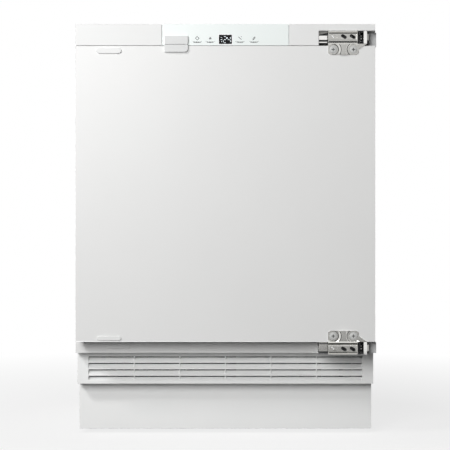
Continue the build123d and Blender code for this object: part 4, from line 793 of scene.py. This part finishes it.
NOSE_LIPS = {1: ((-9.8 * MM, -7.2 * MM, 17.0 * MM), (6.4 * MM, 12.2 * MM, 17.0 * MM)),
             -1: ((-11.3 * MM, -9.2 * MM, 17.0 * MM),)}
BLOCK_HALF = 11.2 * MM
CUTOUT_EDGE = 17.9 * MM
EAR_SCREW_R = 8.0 * MM
EAR_R = 10.3 * MM
EAR_PLATE = 1.0 * MM
NEAR = 0.1 * MM  # how close an edge has to lie to be the one that is meant
EAR_LAND_DEPTH = 3.9 * MM
POCKET_DEPTH = 3.5 * MM
TOP_LAND_DEPTHS = (3.4 * MM, 4.2 * MM)
CORNER_REACH = 2.0 * MM
PAD_SHEET = 0.6 * MM
WEDGE_RISE = 0.4 * MM
STRAP_MARGIN = 0.3 * MM
RIVET_R = 1.15 * MM
RIVET_TALL = 1.0 * MM
RIVET_DOME = (0.45 * MM, 0.3 * MM)
BLOCK_DEPTH = 12.0 * MM
SCREW_HEAD = (7.6 * MM, 0.7 * MM)
SCREW_STEPS = ((1.0 * MM, 0.0), (0.3 * MM, 0.7 * MM), (1.4 * MM, 0.25 * MM), (1.6 * MM, 0.1 * MM))
CROSS = (3.4 * MM, 0.7 * MM)
CROSS_DEPTHS = (-1.0 * MM, 1.3 * MM)
SCREW_RECESS_SHADE = (4.0 * MM, 0.9 * MM)


def ear_corners(leaf, left, side):
    """Rounds the outer corners of a leaf's two ears."""
    screws_low, screws_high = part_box("hinge_leaf_screws")
    right = screws_high.x - EAR_SCREW_R + EAR_R
    outer = (screws_high.z - EAR_SCREW_R - EAR_R) if side > 0 else (screws_low.z + EAR_SCREW_R + EAR_R)
    for x, way in ((left, 1), (right, -1)):
        centre_x, centre_z = x + way * EAR_CORNER, outer + side * EAR_CORNER
        xs, zs = sorted((x - way * MM, centre_x)), sorted((outer - side * MM, centre_z))
        corner = bar("corner", (xs[0], DOOR_PLANE - CORNER_REACH, zs[0]), (xs[1], DOOR_PLANE + MM, zs[1]))
        cut_by(corner, rod("round", (centre_x, DOOR_PLANE, centre_z), EAR_CORNER, 4 * CORNER_REACH, "Y", 48))
        cut_by(leaf, corner)


def fold_moved(leaf, height, near, depth, shift):
    """Moves the level fold of a leaf that runs at a height and a depth."""
    shifted(leaf, lambda at, way: abs(way.x) > ALONG and abs(at.z - height) < near
            and abs(at.y - DOOR_PLANE + depth) < NEAR, shift)


def hinge_leaf(name, middle, side, left):
    """A leaf: slits along its channel, lands that lean to catch the light, and its end past the face painted
    black as painted shade.
    """
    node = "hinge_leaf_" + name
    leaf = taken(node)
    sliced(leaf, (0, 0, middle - side * LAND_END), (0, 0, 1))
    fold_moved(leaf, middle - side * EAR_LAND, 1.5 * NEAR, EAR_LAND_DEPTH,
               (0, EAR_LAND_LEAN[side], -side * EAR_LAND_DROP))
    pocket = middle - side * POCKET_EDGE
    shifted(leaf, lambda at, way: abs(way.x) > ALONG and abs(at.z - pocket) < NEAR
            and at.y < DOOR_PLANE - POCKET_DEPTH, (0, 0, -side * POCKET_DROP))
    fold_moved(leaf, middle + side * LEAF_HALF, NEAR / 2, TOP_LAND_DEPTHS[0], (0, -TOP_LAND_LEANS[0], 0))
    fold_moved(leaf, middle + side * TOP_LAND, NEAR / 2, TOP_LAND_DEPTHS[1], (0, TOP_LAND_LEANS[1], 0))
    for ends in LEAF_SLITS:
        z0, z1 = sorted(middle + side * height for height in ends)
        low = (left + SLIT_END, DOOR_PLANE + SLIT_DEPTHS[0], z0)
        high = (left + LEAF_FACE - SLIT_END, DOOR_PLANE + SLIT_DEPTHS[1], z1)
        cut_by(leaf, bar("slit", low, high))
    ear_corners(leaf, left, side)
    returned(leaf, node, 0.2)
    # Painted shade: the leaf's end past its face is painted black, for the dark where the links turn.
    painted(leaf, BLACK_STEEL_AND_SHADE, lambda at, normal: at.x > left + LEAF_FACE + LINK_START
            and abs(at.z - middle) < LEAF_HALF - 2 * MM)


def leaf_lip(name, middle, side, left):
    """The bright rolled lip at the end of a leaf's channel."""
    z0, z1 = sorted(middle + side * height for height in LIP_HEIGHTS)
    right = left + LEAF_FACE
    lip = bar("leaf_lip_" + name, (right - LIP_WIDTH, DOOR_PLANE + LIP_DEPTHS[0], z0),
              (right, DOOR_PLANE + LIP_DEPTHS[1], z1))
    shifted(lip, lambda at, way: abs(way.z) > ALONG and at.x > right - LIP_WIDTH / 2
            and at.y < DOOR_PLANE + LIP_DEPTHS[0] + NEAR, (0, LIP_LEAN, 0))
    rounded(lip, 0.2 * MM)
    finished(lip, "door", NICKEL)


def slot_pad(name, middle, left):
    """A nickel plate behind a leaf's first slot, with a slanted white wedge on it as a painted highlight in
    the slot.
    """
    x, z = left + PAD_PLACE[0], middle + PAD_PLACE[1]
    back = DOOR_PLANE - PAD_DEPTH
    pad = bar("slot_plate_" + name, (x - PAD_HALF[0], back, z - PAD_HALF[1]),
              (x + PAD_HALF[0], back + PAD_SHEET, z + PAD_HALF[1]))
    rounded(pad, 0.2 * MM)
    finished(pad, "door", NICKEL)
    # Painted highlight: a white wedge stands for the glint seen through the slot.
    half, thick = WEDGE[0] / 2, WEDGE[1] / 2
    wedge = bar("slot_highlight_wedge_" + name, (-half, back - WEDGE_RISE, -thick), (half, back, thick))
    wedge.data.transform(Matrix.Translation((x - WEDGE_SHIFT, 0, z))
                         @ Matrix.Rotation(math.radians(WEDGE_TURN), 4, "Y"))
    rounded(wedge, 0.15 * MM)
    finished(wedge, "door", PAINTED_LIGHT_ABS)


def outer_links(middles):
    """The outer links: plates painted black as painted shade, joined by the polished strap, which leans to
    the right.
    """
    node = "hinge_outer_links"
    low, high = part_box(node)
    right = high.x - STRAP_SIDE_REACH + STRAP_WIDTH
    links = taken(node)
    front = low.y
    shifted(links, lambda at, way: abs(way.z) > ALONG and abs(at.y - front) < NEAR
            and abs(at.x - right) < NEAR, (0, STRAP_LEAN, 0))
    for middle in middles:
        for height in SIDE_GREY:
            sliced(links, (0, 0, middle + height), (0, 0, 1))
    returned(links, node, 0.25)
    dark = right - STRAP_WIDTH - STRAP_MARGIN
    bright = right + STRAP_MARGIN
    painted(links, MIRROR, lambda at, normal: dark < at.x < bright and normal.y < -0.8)
    grey = [(middle + SIDE_GREY[0], middle + SIDE_GREY[1]) for middle in middles]
    # Painted shade: all but the strap and two grey bands are painted black, for the dark round the links.
    painted(links, BLACK_STEEL_AND_SHADE, lambda at, normal: not dark <= at.x <= bright
            and not any(z0 < at.z < z1 for z0, z1 in grey))


def link_rivets(middles):
    """Two small rivets on each dark control link."""
    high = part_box("hinge_control_links")[1]
    rivets = []
    for middle in middles:
        for height in RIVET_HEIGHTS:
            place = (high.x + RIVET_PLACE[0], DOOR_PLANE + RIVET_PLACE[1], middle + height)
            rivet = rod("rivet", place, RIVET_R, RIVET_TALL, "Y", 20)
            chosen(rivet, lambda at, normal: normal.y < -ALONG)
            bpy.ops.mesh.inset(thickness=RIVET_DOME[0], depth=RIVET_DOME[1])
            closed()
            rivets.append(rivet)
    rivets = joined("link_rivets", rivets)
    smoothed(rivets)
    finished(rivets, "control_links", SCREW)


def hinge_arms(middles, left):
    """The arms, painted black as painted shade where the links turn on them."""
    arms = taken("hinge_arms")
    returned(arms, "hinge_arms", 0.35)
    # Painted shade: the arms are black past the leaf's face, where the links lie in the dark.
    painted(arms, BLACK_STEEL_AND_SHADE, lambda at, normal: at.x > left + LEAF_FACE + LINK_START)


def arm_nose(name, middle, side, left):
    """The polished nose of an arm beside and behind the leaf, on a black slide block that is painted shade.
    The upper nose takes a brighter mirror than the lower: painted light.
    """
    start = left - CUTOUT_EDGE + NOSE_REACH[0]
    front, back = (DOOR_PLANE + depth for depth in NOSE_DEPTHS)
    low, high = NOSE_WEB[side]
    heights = sorted((middle + side * low, middle + side * high))
    parts = [bar("web", (start, front, heights[0]), (start + NOSE_REACH[1], back, heights[1]))]
    for z0, z1, length in NOSE_LIPS[side]:
        z0, z1 = sorted((middle + side * z0, middle + side * z1))
        parts.append(bar("lip", (start, front, z0), (start + length, back, z1)))
    for part in parts:
        heights = sorted(corner.co.z for corner in part.data.vertices)
        lean = (heights[-1] - heights[0]) * NOSE_LEAN if side > 0 else 0.0
        shifted(part, lambda at, way: abs(way.x) > ALONG and at.z > heights[-1] - NEAR
                and at.y < front + NEAR, (0, lean, 0))
    if side > 0:
        wedge, foot = parts[-1], middle + NOSE_LIPS[side][-1][0]
        shifted(wedge, lambda at, way: abs(way.y) > ALONG and at.z < foot + NEAR and at.x > start + MM,
                (0, 0, NOSE_TAPER))
    nose = joined("arm_nose_" + name, parts)
    rounded(nose, 0.4 * MM)
    # Painted light: the upper nose takes the brighter mirror nickel, and the lower the plainer nickel.
    finished(nose, "root", MIRROR if side > 0 else NICKEL)
    # Painted shade: a black block behind the nose, for the dark behind the arm.
    block = bar("shade_block_" + name, (start, back, middle - BLOCK_HALF),
                (start + BLOCK_LENGTH, back + BLOCK_DEPTH, middle + BLOCK_HALF))
    rounded(block, 0.8 * MM)
    finished(block, "root", NYLON_AND_SHADE)


def ear_screw(x, z):
    """A pan-head screw: a washer face, a low dome and a cross recess."""
    seat = DOOR_PLANE - EAR_PLATE
    head = rod("head", (x, seat - SCREW_HEAD[1] / 2, z), *SCREW_HEAD, "Y", 48)
    chosen(head, lambda at, normal: normal.y < -ALONG)
    for thickness, depth in SCREW_STEPS:
        bpy.ops.mesh.inset(thickness=thickness, depth=depth)
    closed()
    top = min(corner.co.y for corner in head.data.vertices)
    for long, wide in (CROSS, CROSS[::-1]):
        cut_by(head, bar("cross", (x - long, top + CROSS_DEPTHS[0], z - wide),
                         (x + long, top + CROSS_DEPTHS[1], z + wide)))
    rounded(head, 0.12 * MM)
    return head


def ear_screws():
    """The four screws that hold the leaves, one in each ear, with painted shade in the bottom of each cross
    recess.
    """
    low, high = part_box("hinge_leaf_screws")
    places = [(x, z) for x in (low.x + EAR_SCREW_R, high.x - EAR_SCREW_R)
              for z in (low.z + EAR_SCREW_R, high.z - EAR_SCREW_R)]
    screws = joined("ear_screws", [ear_screw(x, z) for x, z in places])
    finished(screws, "door", SCREW)
    # Painted shade: the floor of each cross recess is painted black, for the dark inside the recess.
    floor = DOOR_PLANE - EAR_PLATE - SCREW_RECESS_SHADE[1]
    painted(screws, BLACK_STEEL_AND_SHADE, lambda at, normal: normal.y < -ALONG and at.y > floor
            and any(math.hypot(at.x - x, at.z - z) < SCREW_RECESS_SHADE[0] for x, z in places))
    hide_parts("hinge_leaf_screws")


# Small covers and trims round the hinges and the door
CAP_SIDES = (281.8 * MM, 297.4 * MM)
CAP_DEPTHS = (25.0 * MM, 47.8 * MM)
DOOR_BEAD = 1.1 * MM
# Painted shade: thin black crescents round the ear screws, where the pockets' walls are in shade.
SHADE_RING_HALF = 9.9 * MM
SHADE_RING_REACH = 2.0 * MM
SHADE_RING_STROKE = 1.0 * MM
SHADE_RING_THICK = 0.5 * MM
# Each shade ring's ear, 0 at the left and 1 at the right, its radius and its depth
EAR_SHADE_RINGS = ((0, 10.6 * MM, 1.35 * MM), (0, 15.9 * MM, 4.1 * MM), (1, 12.9 * MM, 2.9 * MM))
CAP_GAPS = {"band": 0.5 * MM, "hinge": 1.2 * MM, "rail": 2.0 * MM}
BEAD_ENDS = 0.6 * MM
BEAD_DEPTHS = (-0.35 * MM, 0.4 * MM)
BEAD_LIFT = 0.05 * MM
BEAD_LEAN = 0.3 * MM


def recess_cap(name, z0, z1):
    """A moulded cap that closes the cabinet's corner beside a hinge, greyer than the other white ABS as
    painted shade in the recess.
    """
    cap = bar(name, (CAP_SIDES[0], DOOR_PLANE + CAP_DEPTHS[0], z0),
              (CAP_SIDES[1], DOOR_PLANE + CAP_DEPTHS[1], z1))
    rounded(cap, 0.5 * MM, 3)
    finished(cap, "root", SHADE_GREY_CAP_ABS)


def recess_caps():
    """One cap in the cut-out of the control band, one on the rail."""
    band_low, band_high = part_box("panel_cover_right")
    hinge_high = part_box("hinge_leaf_upper")[1]
    recess_cap("recess_cap_upper", band_low.z + CAP_GAPS["band"], hinge_high.z + CAP_GAPS["hinge"])
    rail_low, rail_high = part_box("lower_rail")
    recess_cap("recess_cap_lower", rail_low.z + CAP_GAPS["rail"], rail_high.z)


def ear_shade_crescents():
    """Thin dark crescents on the inner side of each ear screw: painted shade of the ears' pocket walls, made
    as black rubber.
    """
    low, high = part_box("hinge_leaf_screws")
    ears = ((low.x + EAR_SCREW_R, 1), (high.x - EAR_SCREW_R, -1))
    crescents = []
    for z in (low.z + EAR_SCREW_R, high.z - EAR_SCREW_R):
        for ear, radius, depth in EAR_SHADE_RINGS:
            x, way = ears[ear]
            ring = plate("gasket", (x, DOOR_PLANE - depth, z), radius, 48)
            outline_of(ring, SHADE_RING_STROKE)
            sliced(ring, (x - way * SHADE_RING_REACH, DOOR_PLANE, z), (-way, 0, 0), True)
            for end in (-1, 1):
                sliced(ring, (x, DOOR_PLANE, z + end * SHADE_RING_HALF), (0, 0, end), True)
            modified(ring, "SOLIDIFY", thickness=SHADE_RING_THICK, offset=0.0)
            crescents.append(ring)
    painted_rings = joined("ear_shade_crescents", crescents)
    smoothed(painted_rings)
    finished(painted_rings, "door", RUBBER_AND_SHADE)


def door_bead_highlight():
    """The folded lower edge of the door's front sheet: a bead in pure white as a painted highlight, which
    leans back at its top.
    """
    low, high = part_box("door_skin")
    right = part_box("hinge_leaf_lower")[0].x
    bead = bar("door_bead_highlight", (low.x + BEAD_ENDS, DOOR_PLANE + BEAD_DEPTHS[0], low.z + BEAD_LIFT),
               (right - BEAD_ENDS, DOOR_PLANE + BEAD_DEPTHS[1], low.z + DOOR_BEAD))
    shifted(bead, lambda at, way: abs(way.x) > ALONG and at.z > low.z + DOOR_BEAD / 2 and at.y < DOOR_PLANE,
            (0, BEAD_LEAN, 0))
    rounded(bead, 0.12 * MM)
    # Painted highlight: the bead is pure white, brighter than the door's enamel.
    finished(bead, "door", BEZEL_WHITE_AND_HIGHLIGHT)


def hinges():
    middles = {}
    for name, side in (("upper", 1), ("lower", -1)):
        low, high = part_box("hinge_leaf_" + name)
        middle = high.z - LEAF_HALF if side > 0 else low.z + LEAF_HALF
        middles[name] = middle
        hinge_leaf(name, middle, side, low.x)
        leaf_lip(name, middle, side, low.x)
        slot_pad(name, middle, low.x)
        arm_nose(name, middle, side, low.x)
    outer_links(middles.values())
    link_rivets(middles.values())
    hinge_arms(middles.values(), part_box("hinge_leaf_upper")[0].x)
    ear_screws()
    ear_shade_crescents()
    recess_caps()
    door_bead_highlight()


# Rear: the machine compartment's cover, the back panel and the inlet
LOUVRE = (110.0 * MM, 7.0 * MM)
LOUVRE_PITCH = 20.0 * MM
LOUVRE_START = 80.0 * MM
HOOD_LAP = 1.5 * MM
HOOD_DROP = 5.5 * MM
INLET_SIDE = 50.0 * MM
BEAD_WIDTH = 9.0 * MM
BEAD_INSET = 45.0 * MM
BEAD_PITCH = 120.0 * MM
BEAD_DEPTH = 0.45 * MM
HOOD_SLANT = 0.8
HOOD_SHEET = 0.7 * MM
REAR_SCREW_R = 4.2 * MM
REAR_SCREW_INSET = 8.0 * MM
REAR_SCREW_ROWS = (5, 4)
WASHER = 0.4 * MM
REAR_HEAD = {"share": 0.62, "tall": 0.9 * MM, "rise": 0.3 * MM}


def louvre_hoods():
    """A pressed hood behind each louvre, which turns the air down and hides what is inside."""
    low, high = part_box("rear_compartment_cover")
    inlet = sum(corner.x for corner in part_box("power_inlet")) / 2
    middle = (low.z + high.z) / 2
    half = LOUVRE[0] / 2
    hoods = []
    left = low.x + LOUVRE_START
    for n in range(int((inlet - INLET_SIDE - left) / LOUVRE_PITCH)):
        x = left + n * LOUVRE_PITCH
        wide = LOUVRE[1] / 2 + HOOD_LAP
        hood = bar("hood", (x - wide, low.y - HOOD_DROP, middle - half - HOOD_LAP),
                   (x + wide, low.y, middle + half + HOOD_LAP))
        chosen(hood, lambda at, normal: normal.y > ALONG)
        bpy.ops.mesh.delete(type="FACE")
        closed()
        shifted(hood, lambda at, way: abs(way.z) > ALONG and at.x < x and at.y < low.y - HOOD_DROP / 2,
                (0, HOOD_SLANT * HOOD_DROP, 0))
        modified(hood, "SOLIDIFY", thickness=HOOD_SHEET, offset=1.0)
        hoods.append(hood)
    hoods = joined("louvre_hoods", hoods)
    rounded(hoods, 0.3 * MM, 1)
    finished(hoods, "root", GALVANISED)


def rear_screw(x, y, z):
    """A hexagon-head sheet screw with its washer, seen from behind."""
    washer = rod("screw", (x, y + WASHER / 2, z), REAR_SCREW_R, WASHER, "Y", 24)
    head = rod("screw", (x, y - REAR_HEAD["rise"], z), REAR_HEAD["share"] * REAR_SCREW_R,
               REAR_HEAD["tall"], "Y", 6)
    return [washer, head]


def rear_screws():
    """The screws round the back panel and the cover of the machine compartment."""
    panel_low, panel_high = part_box("back_panel")
    cover_low, cover_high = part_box("rear_compartment_cover")
    face = panel_high.y - 0.9 * MM
    inset = REAR_SCREW_INSET
    sides, rows = REAR_SCREW_ROWS
    places = []
    for n in range(sides):
        z = panel_low.z + inset + n * (panel_high.z - panel_low.z - 2 * inset) / (sides - 1)
        places += [(panel_low.x + inset, z), (panel_high.x - inset, z)]
    for n in range(rows):
        x = cover_low.x + inset + n * (cover_high.x - cover_low.x - 2 * inset) / (rows - 1)
        places += [(x, cover_high.z - inset), (x, cover_low.z + inset)]
    parts = []
    for x, z in places:
        parts += rear_screw(x, face, z)
    screws = joined("rear_screws", parts)
    rounded(screws, 0.15 * MM, 1)
    finished(screws, "root", ZINC)


def pressed_back():
    """The back panel with stiffening beads pressed into it, in the same sheet."""
    low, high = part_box("back_panel")
    panel = taken("back_panel")
    count = int((high.x - low.x - 2 * BEAD_INSET) / BEAD_PITCH) + 1
    for n in range(count):
        x = low.x + BEAD_INSET + (n + 0.5) * (high.x - low.x - 2 * BEAD_INSET) / count
        groove = bar("groove", (x - BEAD_WIDTH / 2, high.y - BEAD_DEPTH, low.z + BEAD_INSET),
                     (x + BEAD_WIDTH / 2, high.y + 2 * MM, high.z - BEAD_INSET))
        chosen(groove, lambda at, way: abs(way.y) > ALONG, "EDGE")
        bpy.ops.mesh.bevel(offset=0.45 * BEAD_WIDTH, segments=6, affect="EDGES")
        closed()
        cut_by(panel, groove)
    returned(panel, "back_panel", 0.25, 2, 20)


def rear():
    louvre_hoods()
    pressed_back()
    rear_screws()


def sight_of(tree):
    """The light path, and whether the camera, a mirror or clear plastic looks along it."""
    path = add(tree, "LightPath", {})
    seen = add(tree, "Math", {"operation": "MAXIMUM"}, {0: path.outputs["Is Camera Ray"],
                                                       1: path.outputs["Is Glossy Ray"]})
    return path, add(tree, "Math", {"operation": "MAXIMUM"}, {0: seen,
                                                             1: path.outputs["Is Transmission Ray"]})


def studio_floor():
    """A pale floor that keeps the freezer's shadow and is white to camera and mirror."""
    bpy.ops.mesh.primitive_plane_add(size=FLOOR_SIZE, location=(0, 0, 0))
    floor = bpy.context.active_object
    floor.name = "studio_floor"
    finish, tree, place = new_finish("studio_floor_white")
    path, sight = sight_of(tree)
    away = add(tree, "VectorMath", {"operation": "LENGTH"}, {0: place})
    share = add(tree, "MapRange", {"From Min": FLOOR_FADE[0], "From Max": FLOOR_FADE[1],
                                     "To Min": 1.0 - FLOOR_KEEPS, "To Max": 1.0},
                {"Value": away.outputs["Value"]})
    factor = add(tree, "Math", {"operation": "MULTIPLY"}, {0: sight, 1: share})
    pale = add(tree, "BsdfDiffuse", {"Color": linear("#F2F2F1")})
    flag = add(tree, "BsdfDiffuse", {"Color": linear("#707070")})
    plain = add(tree, "MixShader", {}, {0: path.outputs["Is Diffuse Ray"], 1: pale,
                                        2: flag})
    white = add(tree, "Emission", {"Strength": 1.0})
    mix = add(tree, "MixShader", {}, {0: factor, 1: plain, 2: white})
    add(tree, "OutputMaterial", {}, {"Surface": mix})
    floor.data.materials.append(finish)


def studio_world():
    """Even soft light all round, and white behind the object."""
    world = bpy.data.worlds.new("studio")
    bpy.context.scene.world = world
    world.use_nodes = True
    tree = world.node_tree
    tree.nodes.clear()
    sight = sight_of(tree)[1]
    soft = add(tree, "Background", {"Color": (1, 1, 1, 1), "Strength": FILL})
    white = add(tree, "Background", {"Color": (1, 1, 1, 1), "Strength": 1.0})
    mix = add(tree, "MixShader", {}, {0: sight, 1: soft, 2: white})
    add(tree, "OutputWorld", {}, {"Surface": mix})


def studio_lamp(name, place, size, power):
    bpy.ops.object.light_add(type="AREA", location=place)
    lamp = bpy.context.active_object
    lamp.name = name
    lamp.data.shape = "DISK"
    lamp.data.size = size
    lamp.data.energy = power
    lamp.rotation_euler = (Vector(LAMP_AIM) - Vector(place)).to_track_quat("-Z", "Y").to_euler()
    return lamp


def studio_card(name, place, turn, size, grey):
    """A card that only mirrors see: what bright metal reflects beside the white room."""
    bpy.ops.mesh.primitive_plane_add(size=1, location=place, rotation=[math.radians(a) for a in turn])
    card = bpy.context.active_object
    card.name = name
    card.scale = (size[0], size[1], 1)
    finish, tree, place = new_finish(name)
    glow = add(tree, "Emission", {"Strength": grey})
    add(tree, "OutputMaterial", {}, {"Surface": glow})
    card.data.materials.append(finish)
    card.visible_camera = False
    card.visible_diffuse = False
    card.visible_shadow = False
    card.visible_transmission = False
    card.visible_volume_scatter = False


def studio_camera():
    bpy.ops.object.camera_add(location=CAMERA_PLACE, rotation=(math.radians(90), 0, 0))
    camera = bpy.context.active_object
    camera.data.lens = CAMERA_LENS
    camera.data.sensor_width = CAMERA_FILM
    camera.data.clip_end = CAMERA_REACH
    bpy.context.scene.camera = camera


def studio():
    studio_floor()
    studio_world()
    studio_lamp("key_light", **KEY)
    studio_lamp("softbox", **SOFTBOX)
    for name, card in CARDS.items():
        studio_card(name, **card)
    studio_camera()
    bpy.context.scene.view_settings.view_transform = "Standard"


dress_packed_pieces()
control_band()
hinges()
rear()
studio()
